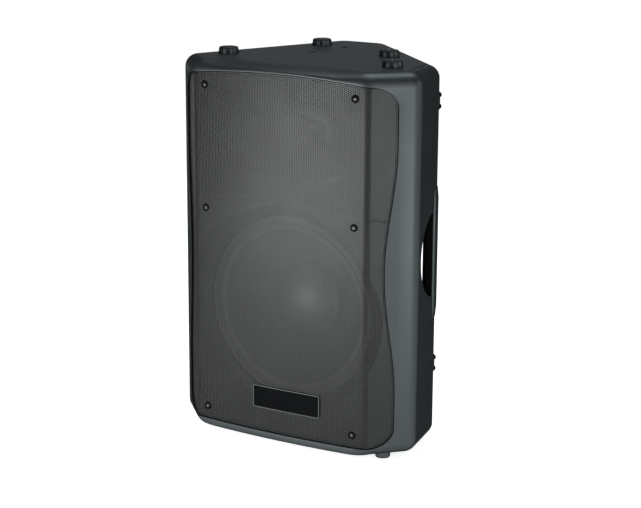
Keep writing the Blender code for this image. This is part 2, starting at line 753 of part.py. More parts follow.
def grille_openings():
    """One opening to a strip of the front and one to a wing in each row, as front-view rectangles."""
    foot = GRILLE_LOW_Z + OPENING_MARGIN
    step = (grille_top(CREASE_X) - OPENING_MARGIN - foot) / OPENING_ROWS
    half = OPENING_BAR / 2
    edges = facet_edges()
    cells = []
    for row in range(OPENING_ROWS):
        low, high = foot + row * step + half, foot + (row + 1) * step - half
        spans = [(left + half, right - half) for left, right in zip(edges, edges[1:])]
        reach = min(grille_half_width(z) for z in (low, (low + high) / 2, high)) - OPENING_MARGIN
        in_corner = low < GRILLE_LOW_Z + GRILLE_CORNER_R or high > grille_top(CREASE_X) - GRILLE_CORNER_R
        if not in_corner and reach - CREASE_X - half > OPENING_LEAST:
            spans += [(CREASE_X + half, reach), (-reach, -CREASE_X - half)]
        cells += [(left, low, right, high) for left, right in spans if not on_pad(left, low, right, high)]
    return cells


def make_grille():
    sheet = upright_slab_mesh("grille", grille_outline(GRILLE_EDGE_GAP), -BIG, SEAM_Y / 1.2)
    grille = place("grille", sheet, CABINET, "grille_steel")
    combine(grille, PLAN_GRILLE, "INTERSECT")
    combine(grille, plan_prism("plan_grille_back", GRILLE_SET + GRILLE_SHEET))
    holes = screw_rods(SCREW_SHANK_R + SCREW_PLAY, -SCREW_LENGTH, SCREW_LENGTH)
    combine(grille, place("grille_screw_holes", rods_mesh("grille_screw_holes", holes), CABINET))
    cutter = bmesh.new()
    for left, low, right, high in grille_openings():
        size = Matrix.Diagonal((right - left, 2 * SEAM_Y, high - low, 1.0))
        middle = Matrix.Translation(((left + right) / 2, 0.0, (low + high) / 2))
        bmesh.ops.create_cube(cutter, size=1.0, matrix=middle @ size)
    return combine(grille, place("grille_openings", from_bmesh("grille_openings", cutter), CABINET))


def make_badge():
    outline = rectangle(BADGE_WIDTH, BADGE_HEIGHT, BADGE_CORNER_R, (BADGE_X, BADGE_Z))
    badge = place("badge_plate", upright_slab_mesh("badge_plate", outline, -BIG, SEAM_Y), CABINET, "black_plastic")
    combine(badge, plan_prism("plan_badge", GRILLE_SET - GAP - BADGE_SHEET), "INTERSECT")
    return combine(badge, plan_prism("plan_badge_back", GRILLE_SET - GAP))


def make_grille_screws():
    head = [(0.0, SCREW_HEAD_H), (0.6 * SCREW_HEAD_R, 0.85 * SCREW_HEAD_H), (SCREW_HEAD_R, 0.3 * SCREW_HEAD_H),
            (SCREW_HEAD_R, GAP), (SCREW_SHANK_R, GAP), (SCREW_SHANK_R, -SCREW_LENGTH), (0.0, -SCREW_LENGTH)]
    for name, x, z in screw_places():
        point, slope = surface_point(x, z, GRILLE_SET)
        holder = frame(f"screw_axis_{name}", point, slope, math.pi / 2, CABINET)
        turned(f"grille_screw_{name}", head, holder, "black_screw", 8)


def roll_line(start, end, waves, height, count):
    """Points of a wavy cloth between two radii, as (radius, height)."""
    points = []
    for k in range(count + 1):
        t = k / count
        points.append((start + (end - start) * t, height * math.sin(2 * math.pi * waves * t)))
    return points


def sheet_profile(line, thickness):
    """A closed profile of even height round an open line of (radius, height) points."""
    return line + [(r, h - thickness) for r, h in reversed(line)]


def make_woofer():
    lip_r = BASKET_R - BASKET_T - 0.001
    cup_in = BASKET_CUP_R - BASKET_T
    ledge = SPIDER_SEAT
    basket = turned("woofer_basket", [
        (FRAME_R, FRAME_T), (FRAME_R, GAP), (BASKET_R, GAP), (BASKET_R - 0.001, -0.008),
        (BASKET_CUP_R + 0.012, ledge - 0.0035), (BASKET_CUP_R, ledge - 0.0035), (BASKET_CUP_R, BASKET_BACK),
        (COIL_R + 0.008, BASKET_BACK), (COIL_R + 0.008, BASKET_BACK + 0.003), (cup_in, BASKET_BACK + 0.003),
        (cup_in, ledge), (SPIDER_R + 0.003, ledge), (lip_r, -0.006), (lip_r, 0.001), (lip_r + 0.010, 0.001),
        (lip_r + 0.010, FRAME_T)], WOOFER, "painted_panel", FINE_STEPS)
    windows = bmesh.new()
    for k in range(WINDOW_COUNT):
        spin = Matrix.Rotation(2 * math.pi * k / WINDOW_COUNT, 4, "Z")
        reach = Matrix.Translation((BASKET_R, 0.0, (ledge - 0.010) / 2))
        size = Matrix.Diagonal((BASKET_R - BASKET_CUP_R - 0.006, WINDOW_WIDTH, -ledge - 0.024, 1.0))
        bmesh.ops.create_cube(windows, size=1.0, matrix=spin @ reach @ size)
    combine(basket, place("basket_windows", from_bmesh("basket_windows", windows), WOOFER))

    cloth = 0.001
    seat = 0.001 + GAP + cloth
    surround = [(lip_r + 0.0095, seat), *[(r, seat + h) for r, h in roll_line(lip_r, CONE_R, 1, ROLL_HEIGHT, 6)],
                (CONE_R - 0.006, seat)]
    turned("woofer_surround", sheet_profile(surround, cloth), WOOFER, "doped_cloth", FINE_STEPS)
    gasket = [(FRAME_R - 0.0015, FRAME_T + 0.0025), (FRAME_R - 0.0015, FRAME_T + GAP), (lip_r + 0.0095, FRAME_T + GAP),
              (lip_r + 0.0095, seat + GAP), (lip_r + 0.001, seat + GAP), (lip_r + 0.001, FRAME_T + 0.0025)]
    turned("woofer_gasket", gasket, WOOFER, "rubber", FINE_STEPS)

    neck_r = COIL_R + GAP
    cone_line = [(CONE_R, 0.0), (CONE_R - 0.007, 0.0)]
    cone_line += [cone_point(t) for t in (0.0, 0.25, 0.5, 0.75, 1.0)][1:]
    cone_line[-1] = (neck_r, CONE_NECK)
    cone_line = [(r, h + 0.001) for r, h in cone_line]
    turned("woofer_cone", sheet_profile(cone_line, 0.0012), WOOFER, "paper_cone", FINE_STEPS)
    base = cone_height(DUST_CAP_R) + 0.001 + GAP + 0.0012
    dome = [(DUST_CAP_R * k / 5, base + DUST_CAP_H * (1 - (k / 5) ** 2)) for k in range(6)]
    turned("dust_cap", dome + [(r, h - 0.0012) for r, h in reversed(dome)], WOOFER, "paper_cone", FINE_STEPS)

    coil_low = BASKET_BACK - TOP_PLATE_T - 0.010
    former_in = COIL_R - 0.0006
    turned("voice_coil", [(COIL_R, CONE_NECK + 0.004), (COIL_R, BASKET_BACK + 0.004),
                          (COIL_R + WINDING_T, BASKET_BACK + 0.003), (COIL_R + WINDING_T, coil_low),
                          (former_in, coil_low), (former_in, CONE_NECK + 0.004)], WOOFER, "copper", FINE_STEPS)
    spider_top = SPIDER_SEAT + GAP + 0.0008
    waves = roll_line(cup_in - 0.002, neck_r + 0.003, 2, 0.0026, 6)
    spider = [(SPIDER_R, spider_top), *[(r, spider_top + h) for r, h in waves], (neck_r, spider_top)]
    turned("woofer_spider", sheet_profile(spider, 0.0008), WOOFER, "spider_cloth", FINE_STEPS)

    plate_top = BASKET_BACK - GAP
    magnet_top = plate_top - TOP_PLATE_T - GAP
    back_top = magnet_top - MAGNET_T - GAP
    gap_out = COIL_R + WINDING_T + AIR_GAP
    pole_r = former_in - AIR_GAP
    turned("woofer_top_plate", ring(gap_out, PLATE_R, plate_top - TOP_PLATE_T, plate_top), WOOFER, "steel", FINE_STEPS)
    turned("woofer_magnet", ring(gap_out + 0.006, MAGNET_R, magnet_top - MAGNET_T, magnet_top), WOOFER, "ferrite",
           FINE_STEPS)
    back_low = back_top - BACK_PLATE_T
    yoke = [(pole_r, plate_top), (pole_r, back_top), (PLATE_R, back_top), (PLATE_R, back_low + 0.002),
            (PLATE_R - 0.002, back_low), (VENT_R, back_low), (VENT_R, plate_top)]
    turned("woofer_back_plate", yoke, WOOFER, "steel", FINE_STEPS)


def cone_height(radius):
    """The cone's line: steeper towards its neck."""
    t = (CONE_R - 0.007 - radius) / (CONE_R - 0.007 - COIL_R - GAP)
    return CONE_NECK * t ** 1.15


def cone_point(t):
    radius = CONE_R - 0.007 - t * (CONE_R - 0.007 - COIL_R - GAP)
    return radius, cone_height(radius)


def ring(inner, outer, low, high):
    return [(outer, high), (outer, low), (inner, low), (inner, high)]


def make_horn():
    horn = place("horn_flare", flare_mesh("horn_flare", HORN_WALL, -0.02, THROAT_Y), CABINET, "black_plastic")
    face = plan_prism("plan_horn_face", HORN_SET)
    combine(horn, face, "INTERSECT")
    flange = place("horn_flange", upright_slab_mesh("horn_flange", horn_panel_outline(0.0), -BIG, SEAM_Y), CABINET)
    combine(flange, face, "INTERSECT")
    combine(flange, plan_prism("plan_horn_back", HORN_SET + HORN_FLANGE_T))
    combine(horn, flange, "UNION")
    disc = turned("throat_flange", [(0.0, THROAT_FLANGE_T), (THROAT_FLANGE_R, THROAT_FLANGE_T),
                                    (THROAT_FLANGE_R, 0.0), (0.0, 0.0)], DRIVER, None)
    combine(horn, disc, "UNION")
    combine(horn, place("flare_bore", flare_mesh("flare_bore", 0.0, -0.03, 1.2 * THROAT_Y), CABINET))
    clear = rods_mesh("boss_clearance", screw_rods(BOSS_R + 2 * GAP, -SCREW_LENGTH, 2 * SCREW_LENGTH))
    combine(horn, place("boss_clearance", clear, CABINET))

    front, back = DRIVER_CHAMBER_FRONT, DRIVER_CHAMBER_FRONT + DRIVER_CHAMBER_DEPTH
    turned("compression_driver", [
        (THROAT_R, -GAP), (DRIVER_R, -GAP), (DRIVER_R, -DRIVER_LENGTH + 0.006), (DRIVER_R - 0.006, -DRIVER_LENGTH),
        (0.0, -DRIVER_LENGTH), (0.0, -back), (DRIVER_CHAMBER_R, -back), (DRIVER_CHAMBER_R, -front),
        (THROAT_R, -front)], DRIVER, "ferrite", ROUND_STEPS)
    rim = DRIVER_CHAMBER_R - GAP
    middle = -(front + back) / 2
    dome = [(rim * k / 3, middle + 0.004 * (1 - (k / 3) ** 2)) for k in range(4)]
    turned("hf_diaphragm", dome + [(r, h - 0.0008) for r, h in reversed(dome)], DRIVER, "copper", ROUND_STEPS)


def make_handle():
    """A moulded cup let into the right rear edge, and the grip that bridges it."""
    cup = place("handle_cup", ellipsoid_mesh("handle_cup", pocket_axes(POCKET_WALL), HANDLE_TURN, pocket_centre()),
                CABINET, "black_plastic")
    combine(cup, plan_prism("plan_cup", GAP), "INTERSECT")
    combine(cup, place("pocket", ellipsoid_mesh("pocket", pocket_axes(0.0), HANDLE_TURN, pocket_centre()), CABINET))
    corners = plan_corners()
    place_in_list = corners.index((SIDE_END_X, SIDE_END_Y, SIDE_R))
    outer = inset(corners, -GRIP_PROUD)
    edge = Vector(outer[place_in_list][:2])
    to_front = (Vector(outer[place_in_list - 1][:2]) - edge).normalized()
    to_back = (Vector(outer[place_in_list + 1][:2]) - edge).normalized()
    side_in = Vector((to_front.y, -to_front.x))
    back_in = Vector((-to_back.y, to_back.x))
    front_edge = edge + to_front * GRIP_FRONT
    back_edge = edge + to_back * GRIP_BACK
    inner_front = front_edge + side_in * GRIP_DEPTH
    inner_back = back_edge + back_in * GRIP_DEPTH * 0.6
    section = [(*inner_front, GRIP_R), (*front_edge, GRIP_R / 2), (*edge, SIDE_R), (*back_edge, GRIP_R / 2),
               (*inner_back, GRIP_R)]
    half = GRIP_LENGTH / 2
    full, faded = filleted(section), filleted(inset(section, GRIP_PROUD - 2 * GAP))
    rings = [(faded, -half), (full, GRIP_FADE - half), (full, half - GRIP_FADE), (faded, half)]
    blank = loft_mesh("handle_grip", [[(x, y, HANDLE_Z + dz) for x, y in outline] for outline, dz in rings])
    grip = place("handle_grip", blank, CABINET, "black_plastic")
    outside = place("grip_seat", slab_mesh("grip_seat", plan(-GAP), BODY_LOW, BODY_HIGH), CABINET)
    combine(outside, place("grip_room", ellipsoid_mesh("grip_room", pocket_axes(-GRIP_CLEAR), HANDLE_TURN,
                                                       pocket_centre()), CABINET))
    return combine(grip, outside)


def make_feet():
    profile = [(0.0, FOOT_HEIGHT - 0.003), (0.0045, FOOT_HEIGHT - 0.003), (0.0055, FOOT_HEIGHT),
               (FOOT_R - 0.003, FOOT_HEIGHT), (FOOT_R - 0.001, FOOT_HEIGHT - 0.0012), (FOOT_R, GAP), (0.0, GAP)]
    for place_name, (x, y) in TOP_FEET.items():
        holder = frame(f"top_foot_axis_{place_name}", (x, y, BODY_HIGH), 0.0, 0.0, CABINET)
        turned(f"top_foot_{place_name}", profile, holder, "rubber", SMALL_STEPS)
    for place_name, (x, y) in BOTTOM_FEET.items():
        holder = frame(f"bottom_foot_axis_{place_name}", (x, y, BODY_LOW), 0.0, math.pi, CABINET)
        turned(f"bottom_foot_{place_name}", profile, holder, "rubber", SMALL_STEPS)


def make_monitor_pads():
    """Ribbed rubber pads that the cabinet lies on as a floor monitor."""
    half = PAD_LENGTH / 2
    top = PAD_BASE_T + PAD_RIB_T
    for end, distance in (("front", PAD_FRONT_S), ("rear", PAD_REAR_S)):
        for level, z in PAD_LEVELS.items():
            name = f"monitor_pad_{end}_{level}"
            outline = []
            for sign in (-1, 1):
                middle = sign * PAD_RIB_STEP / 2
                outline += [(middle - PAD_RIB_W / 2, PAD_BASE_T), (middle - PAD_RIB_W / 4, top),
                            (middle + PAD_RIB_W / 4, top), (middle + PAD_RIB_W / 2, PAD_BASE_T)]
            outline = [(-PAD_HEIGHT / 2, GAP), (-PAD_HEIGHT / 2, PAD_BASE_T)] + outline
            outline += [(PAD_HEIGHT / 2, PAD_BASE_T), (PAD_HEIGHT / 2, GAP)]
            mesh = slab_mesh(name, outline[::-1], -half, half)
            mesh.transform(Matrix(((0, 0, 1, 0), (0, 1, 0, 0), (1, 0, 0, 0), (0, 0, 0, 1))))
            mesh.flip_normals()
            pad = place(name, mesh, MONITOR, "rubber")
            pad.location = (-distance, 0.0, z)


def make_fly_points():
    for place_name, (x, y) in FLY_POINTS.items():
        holder = frame(f"fly_axis_{place_name}", (x, y, BODY_HIGH), 0.0, 0.0, CABINET)
        profile = [(INSERT_BORE_R, -GAP), (INSERT_R, -GAP), (INSERT_R, -INSERT_LENGTH), (0.0, -INSERT_LENGTH),
                   (0.0, 0.003 - INSERT_LENGTH), (INSERT_BORE_R, 0.003 - INSERT_LENGTH)]
        turned(f"fly_insert_{place_name}", profile, holder, "steel", SMALL_STEPS)


def make_pole_socket():
    holder = frame("pole_axis", (*POLE_POINT, BODY_LOW), 0.0, 0.0, CABINET)
    outer = POLE_BORE_R + POLE_WALL
    turned("pole_socket", [
        (0.0, POLE_DEPTH + POLE_WALL), (outer, POLE_DEPTH + POLE_WALL), (outer, -GAP), (POLE_FLANGE_R, -GAP),
        (POLE_FLANGE_R, -GAP - POLE_FLANGE_T), (POLE_BORE_R, -GAP - POLE_FLANGE_T), (POLE_BORE_R, POLE_DEPTH),
        (0.0, POLE_DEPTH)], holder, "black_plastic")


def panel_rods(radius, spots, low, high):
    return [(radius, (x, low, z), (x, high, z)) for x, z in spots]


def make_amp_panel():
    front, back = -PANEL_SINK, -panel_back()
    outline = rectangle(2 * PANEL_HALF_W, 2 * PANEL_HALF_H, PANEL_R)
    panel = place("amp_panel", face_slab("amp_panel", outline, back, front), AMP, "painted_panel")
    posts = panel_rods(POST_R, board_posts(), board_front() + GAP, (front + back) / 2)
    combine(panel, place("board_posts", rods_mesh("board_posts", posts), AMP), "UNION")
    knobs = [(x, KNOB_Z) for x in KNOB_XS.values()]
    holes = panel_rods(KNOB_SHAFT_R + GAP, knobs, -BIG, BIG)
    holes += panel_rods(SOCKET_BODY_R + GAP, [(COMBO_X, SOCKET_Z), (LINK_X, SOCKET_Z)], -BIG, BIG)
    holes += panel_rods(JACK_R + GAP, jack_spots(), -BIG, BIG)
    combine(panel, place("panel_holes", rods_mesh("panel_holes", holes, 16), AMP))
    for name, size, z in (("inlet_cut", INLET_BODY, INLET_Z), ("switch_cut", SWITCH_BODY, SWITCH_Z)):
        cut = rectangle(size[0] + 2 * GAP, size[1] + 2 * GAP, 0.0, (INLET_X, z))
        combine(panel, place(name, face_slab(name, cut, -BIG, BIG), AMP))
    return panel


def board_front():
    return -panel_back() - BOARD_SETBACK


def board_posts():
    x = BOARD_HALF_W - POST_INSET
    return [(sx * x, z) for sx in (-1, 1) for z in (BOARD_LOW + POST_INSET, BOARD_HIGH - POST_INSET)]


def jack_spots():
    return [(JACKS_X - JACK_STEP / 2, SOCKET_Z), (JACKS_X + JACK_STEP / 2, SOCKET_Z)]


def make_heatsink():
    """An extruded comb of upright fins on the outside of the panel."""
    base = -PANEL_SINK + GAP
    step = (SINK_WIDTH - SINK_FIN_T) / (SINK_FINS - 1)
    comb = []
    for k in range(SINK_FINS):
        left = SINK_X - SINK_WIDTH / 2 + k * step
        comb += [(left, base + SINK_BASE), (left, base + SINK_BASE + SINK_FIN_H),
                 (left + SINK_FIN_T, base + SINK_BASE + SINK_FIN_H), (left + SINK_FIN_T, base + SINK_BASE)]
    outline = [(SINK_X + SINK_WIDTH / 2, base), (SINK_X - SINK_WIDTH / 2, base)] + comb[1:-1]
    mesh = slab_mesh("amp_heatsink", outline[::-1], SINK_LOW, SINK_HIGH)
    return place("amp_heatsink", mesh, AMP, "aluminium")


def make_knobs():
    lift = 0.0005
    profile = [(0.0, KNOB_H), (0.8 * KNOB_R, KNOB_H), (0.88 * KNOB_R, 0.003),
               (KNOB_R, 0.002), (KNOB_R, lift), (KNOB_SHAFT_R, lift), (KNOB_SHAFT_R, -SHAFT_LENGTH),
               (0.0, -SHAFT_LENGTH)]
    for name, x in KNOB_XS.items():
        axis = frame(f"{name}_axis", (x, -PANEL_SINK, KNOB_Z), 0.0, -math.pi / 2, AMP)
        knob = turned(f"{name}_knob", profile, axis, "black_plastic", SMALL_STEPS)
        mark = box_mesh(f"{name}_pointer", (-0.0008, -0.8 * KNOB_R, KNOB_H - 0.0005),
                        (0.0008, -0.2 * KNOB_R, KNOB_H + 0.0006))
        combine(knob, place(f"{name}_pointer", mark, axis), "UNION")


def make_sockets(panel):
    seat = -PANEL_SINK + GAP
    face = seat + SOCKET_FLANGE_T
    for name, x in (("combo_socket", COMBO_X), ("link_socket", LINK_X)):
        outline = rectangle(*SOCKET_FLANGE, 0.003, (x, SOCKET_Z))
        socket = place(name, face_slab(name, outline, seat, face), AMP, "black_plastic")
        body = rods_mesh(f"{name}_body", panel_rods(SOCKET_BODY_R, [(x, SOCKET_Z)], face - SOCKET_DEPTH,
                                                    face - SOCKET_FLANGE_T / 2), 16)
        combine(socket, place(f"{name}_body", body, AMP), "UNION")
        bore = rods_mesh(f"{name}_bore", panel_rods(SOCKET_BORE_R, [(x, SOCKET_Z)], face - SOCKET_BORE_DEPTH, BIG),
                         16)
        combine(socket, place(f"{name}_bore", bore, AMP))
        if name == "link_socket":
            spots = [(x + PIN_RING_R * math.cos(a), SOCKET_Z + PIN_RING_R * math.sin(a))
                     for a in (math.radians(k) for k in (30, 150, 270))]
            pins = rods_mesh("link_pins", panel_rods(PIN_R, spots, face - SOCKET_BORE_DEPTH - 0.001, face - 0.003), 8)
            combine(socket, place("link_pins", pins, AMP), "UNION")
        else:
            slot = box_mesh("latch_slot", (x - LATCH_SIZE[0] / 2 - GAP, face - LATCH_SIZE[1] - 0.002, latch_z() - GAP),
                            (x + LATCH_SIZE[0] / 2 + GAP, BIG, latch_z() + LATCH_SIZE[2] + GAP))
            combine(socket, place("latch_slot", slot, AMP))
            combine(panel, bpy.data.objects["latch_slot"])
            latch = box_mesh("combo_latch", (-LATCH_SIZE[0] / 2, -LATCH_SIZE[1], 0.0),
                             (LATCH_SIZE[0] / 2, 0.0012, LATCH_SIZE[2]))
            place("combo_latch", latch, AMP, "steel").location = (x, face, latch_z())

    jacks = place("line_jacks", face_slab("line_jacks", rectangle(2 * JACK_STEP, 0.014, 0.002, (JACKS_X, SOCKET_Z)),
                                          seat, face), AMP, "black_plastic")
    posts = panel_rods(JACK_R, jack_spots(), face - JACK_LENGTH, face + JACK_LENGTH)
    combine(jacks, place("jack_posts", rods_mesh("jack_posts", posts, 10), AMP), "UNION")
    bores = panel_rods(JACK_R / 2.4, jack_spots(), face, BIG)
    combine(jacks, place("jack_bores", rods_mesh("jack_bores", bores, 8), AMP))


def latch_z():
    return SOCKET_Z + SOCKET_BORE_R - 0.001


def make_mains():
    seat = -PANEL_SINK + GAP
    face = seat + SOCKET_FLANGE_T
    for name, flange, body, mouth, depth, z in (
            ("mains_inlet", INLET_FLANGE, INLET_BODY, INLET_MOUTH, INLET_DEPTH, INLET_Z),
            ("switch_housing", SWITCH_FLANGE, SWITCH_BODY, SWITCH_MOUTH, SWITCH_DEPTH, SWITCH_Z)):
        piece = place(name, face_slab(name, rectangle(*flange, 0.002, (INLET_X, z)), seat, face), AMP, "black_plastic")
        back = face_slab(f"{name}_body", rectangle(*body, 0.0, (INLET_X, z)), face - depth, face - SOCKET_FLANGE_T / 2)
        combine(piece, place(f"{name}_body", back, AMP), "UNION")
        floor = face - depth + (0.003 if name == "mains_inlet" else -BIG)
        hole = face_slab(f"{name}_mouth", rectangle(*mouth, 0.0, (INLET_X, z)), floor, BIG)
        combine(piece, place(f"{name}_mouth", hole, AMP))
        if name == "mains_inlet":
            blades = bmesh.new()
            for dx, dz in ((-0.0035, 0.0), (0.0025, 0.007), (0.0025, -0.007)):
                spot = Matrix.Translation((INLET_X + dx, (floor - 0.001 + face - 0.003) / 2, z + dz))
                size = Matrix.Diagonal((0.004, face - floor - 0.002, 0.002, 1.0))
                bmesh.ops.create_cube(blades, size=1.0, matrix=spot @ size)
            combine(piece, place("inlet_blades", from_bmesh("inlet_blades", blades), AMP), "UNION")

    half = ROCKER_LENGTH / 2
    rise = half * math.tan(ROCKER_TILT)
    dip = 0.0035
    belly = [(half * math.cos(a), -0.55 * half * math.sin(a)) for a in (math.pi * k / 6 for k in range(1, 6))]
    outline = [(-half, dip + rise), (-half, 0.0), *[(y, z) for y, z in reversed(belly)], (half, 0.0),
               (half, dip + rise), (0.0, dip)]
    width = SWITCH_MOUTH[0] / 2 - GAP
    mesh = slab_mesh("power_rocker", outline, -width, width)
    mesh.transform(Matrix(((0, 0, 1, 0), (0, 1, 0, 0), (1, 0, 0, 0), (0, 0, 0, 1))))
    mesh.flip_normals()
    rocker = place("power_rocker", mesh, frame("rocker_axis", (INLET_X, face - 0.004, SWITCH_Z), 0.0, 0.0, AMP),
                   "black_plastic")
    rocker.rotation_euler = (ROCKER_TILT, 0.0, 0.0)


def make_amp_inside():
    front = board_front()
    board = place("amp_board", box_mesh("amp_board", (-BOARD_HALF_W, front - BOARD_T, BOARD_LOW),
                                        (BOARD_HALF_W, front, BOARD_HIGH)), AMP, "board")
    parts = bmesh.new()
    for rise in CAP_RISES:
        z = BOARD_LOW + rise
        rod(parts, CAP_R, (CAP_X, front - BOARD_T / 2, z), (CAP_X, front - CAP_LENGTH, z))
    for x in KNOB_XS.values():
        spot = Matrix.Translation((x, front + 0.006, KNOB_Z))
        bmesh.ops.create_cube(parts, size=1.0, matrix=spot @ Matrix.Diagonal((0.012, 0.0125, 0.012, 1.0)))
    combine(board, place("board_parts", from_bmesh("board_parts", parts), AMP), "UNION")

    low, high = -panel_back() - GAP - TOROID_T, -panel_back() - GAP
    soft = 0.008
    axis = frame("toroid_axis", (TOROID_X, 0.0, TOROID_Z), 0.0, -math.pi / 2, AMP)
    turned("power_transformer", [
        (TOROID_R - soft, high), (TOROID_R, high - soft), (TOROID_R, low + soft), (TOROID_R - soft, low),
        (TOROID_BORE + soft / 2, low), (TOROID_BORE, low + soft), (TOROID_BORE, high - soft),
        (TOROID_BORE + soft / 2, high)], axis, "winding")


clear_scene()
PARTS = new_collection("pa_speaker_cabinet")
CUTTERS = new_collection("cutters")
CABINET = frame("cabinet_frame", (0.0, -DEPTH / 2, 0.0))
WOOFER = frame("woofer_axis", (0.0, DISH_FLOOR_Y, WOOFER_Z), 0.0, math.pi / 2, CABINET)
DRIVER = frame("driver_axis", (0.0, THROAT_Y, HORN_Z), 0.0, math.pi / 2, CABINET)
LEFT_FACE = Vector((REAR_LEFT_X + HALF_WIDTH, DEPTH - WING_DEPTH)).normalized()
AMP = frame("amp_axis", (-HALF_WIDTH + LEFT_FACE.x * PANEL_S, WING_DEPTH + LEFT_FACE.y * PANEL_S, PANEL_Z),
            math.atan2(LEFT_FACE.y, LEFT_FACE.x), 0.0, CABINET)
MONITOR = frame("monitor_axis", (SIDE_END_X, SIDE_END_Y, 0.0), -MONITOR_ANGLE, 0.0, CABINET)
PLAN_RECESS = plan_prism("plan_recess", RECESS_SET)
PLAN_GRILLE = plan_prism("plan_grille", GRILLE_SET)

make_front_shell()
make_rear_shell()
make_grille()
make_badge()
make_grille_screws()
make_woofer()
make_horn()
make_handle()
make_feet()
make_monitor_pads()
make_fly_points()
make_pole_socket()
make_heatsink()
make_knobs()
make_sockets(make_amp_panel())
make_mains()
make_amp_inside()
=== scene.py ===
"""Studio picture of a moulded two-way PA loudspeaker cabinet, laid out as an add-on and run as a script.

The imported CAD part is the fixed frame. Each operator builds one piece or one group of like pieces
in the row frame: metres, +Z up, the grille facing -Y, the floor at z = 0.
"""

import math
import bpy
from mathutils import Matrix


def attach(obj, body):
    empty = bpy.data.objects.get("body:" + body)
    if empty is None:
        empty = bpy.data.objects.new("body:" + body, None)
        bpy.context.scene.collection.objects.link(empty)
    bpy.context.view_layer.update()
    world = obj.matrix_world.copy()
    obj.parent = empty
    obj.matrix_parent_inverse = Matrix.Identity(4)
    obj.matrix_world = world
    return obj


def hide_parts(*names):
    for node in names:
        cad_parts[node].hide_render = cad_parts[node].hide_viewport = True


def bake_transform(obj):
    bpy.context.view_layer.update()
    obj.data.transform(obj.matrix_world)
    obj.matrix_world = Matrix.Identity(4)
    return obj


bl_info = {
    "name": "PA speaker cabinet",
    "version": (1, 0, 0),
    "blender": (4, 5, 0),
    "location": "View3D > Sidebar > PA cabinet",
    "description": "Builds a moulded two-way loudspeaker cabinet and its studio",
    "category": "Object",
}

import bmesh
import bpy
import numpy as np
from mathutils import Matrix, Vector

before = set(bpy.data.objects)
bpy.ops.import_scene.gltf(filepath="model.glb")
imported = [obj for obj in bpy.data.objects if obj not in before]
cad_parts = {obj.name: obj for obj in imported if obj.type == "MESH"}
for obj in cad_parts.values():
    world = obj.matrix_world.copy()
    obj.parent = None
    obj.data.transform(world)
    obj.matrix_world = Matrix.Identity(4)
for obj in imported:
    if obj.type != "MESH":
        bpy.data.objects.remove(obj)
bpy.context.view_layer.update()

ARC_STEP = math.radians(4)
SPIN_STEPS = 96
FAR = 0.8


def size(label, text, value):
    """A length that the panel shows."""
    return bpy.props.FloatProperty(name=label, description=text, default=value, unit="LENGTH", precision=5)


def linear(code):
    """A colour written as sRGB hex, as linear red, green and blue."""
    parts = [int(code[i:i + 2], 16) / 255 for i in (1, 3, 5)]
    return tuple(c / 12.92 if c <= 0.04045 else ((c + 0.055) / 1.055) ** 2.4 for c in parts)


def colour(label, text, code):
    """A colour that the panel shows."""
    return bpy.props.FloatVectorProperty(name=label, description=text, default=linear(code), subtype="COLOR",
                                         size=3, min=0.0, max=1.0)


class CabinetSizes(bpy.types.PropertyGroup):
    half_width: size("Half width", "Middle to the sharp corner between wing and side", 0.1968)
    depth: size("Depth", "Front of the bezel to the rear face", 0.332)
    height: size("Body height", "Shell without its feet", 0.548)
    foot: size("Foot height", "Rubber feet above and below the shell", 0.010)
    crown: size("Crown", "How far the front bows forward between its creases", 0.0076)
    crease_x: size("Crease", "Middle to the crease between front and wing", 0.144)
    shell_bend: size("Shell bend", "Radius of the shell between brow and wing", 0.034)
    sheet_bend: size("Sheet bend", "Radius of the grille between front and wing", 0.020)
    wing_depth: size("Wing depth", "Front to the corner between wing and side", 0.0595)
    side_end_x: size("Side end across", "Where the right side meets the monitor face", 0.181)
    side_end_y: size("Side end depth", "Where the right side meets the monitor face", 0.1485)
    rear_left_x: size("Rear left", "Left corner of the narrow rear face", -0.0855)
    seam_y: size("Seam depth", "Parting line of the two shells at the sides", 0.070)
    seam_rise: size("Seam bow", "How far the parting line bows back on top", 0.0475)
    seam_half: size("Seam half width", "Half the width of that bow", 0.140)
    front_rim: size("Front rim", "Radius of the rim below the grille", 0.006)
    side_rim: size("Side rim", "Radius of the rim elsewhere", 0.019)
    brow: size("Brow", "How far back the top starts to slope down to the grille", 0.042)
    wall: size("Wall", "Thickness of the mouldings' walls", 0.006)
    end_wall: size("End wall", "Thickness of the mouldings at top and bottom", 0.010)
    grille_set: size("Grille set", "Bezel's face to the grille's face", 0.0025)
    recess_set: size("Recess set", "Bezel's face to the baffle", 0.0065)
    sheet: size("Sheet", "Thickness of the grille's steel", 0.0012)
    pitch: size("Hole pitch", "Distance between holes of the grille", 0.0032)
    hole: size("Hole radius", "Radius of the grille's holes", 0.00122)
    edge_gap: size("Edge gap", "Dark gap between grille and bezel", 0.0014)
    woofer_z: size("Woofer height", "Height of the woofer's axis", 0.2025)
    dish_r: size("Dish radius", "Opening in the baffle in front of the woofer", 0.1605)
    dish_floor: size("Dish floor", "Depth of the woofer's mounting floor", 0.048)
    horn_z: size("Horn height", "Height of the horn's axis", 0.456)
    panel_gap: size("Panel gap", "Dark gap under the horn's panel", 0.0042)
    handle_z: size("Handle height", "Height of the handle's middle", 0.289)


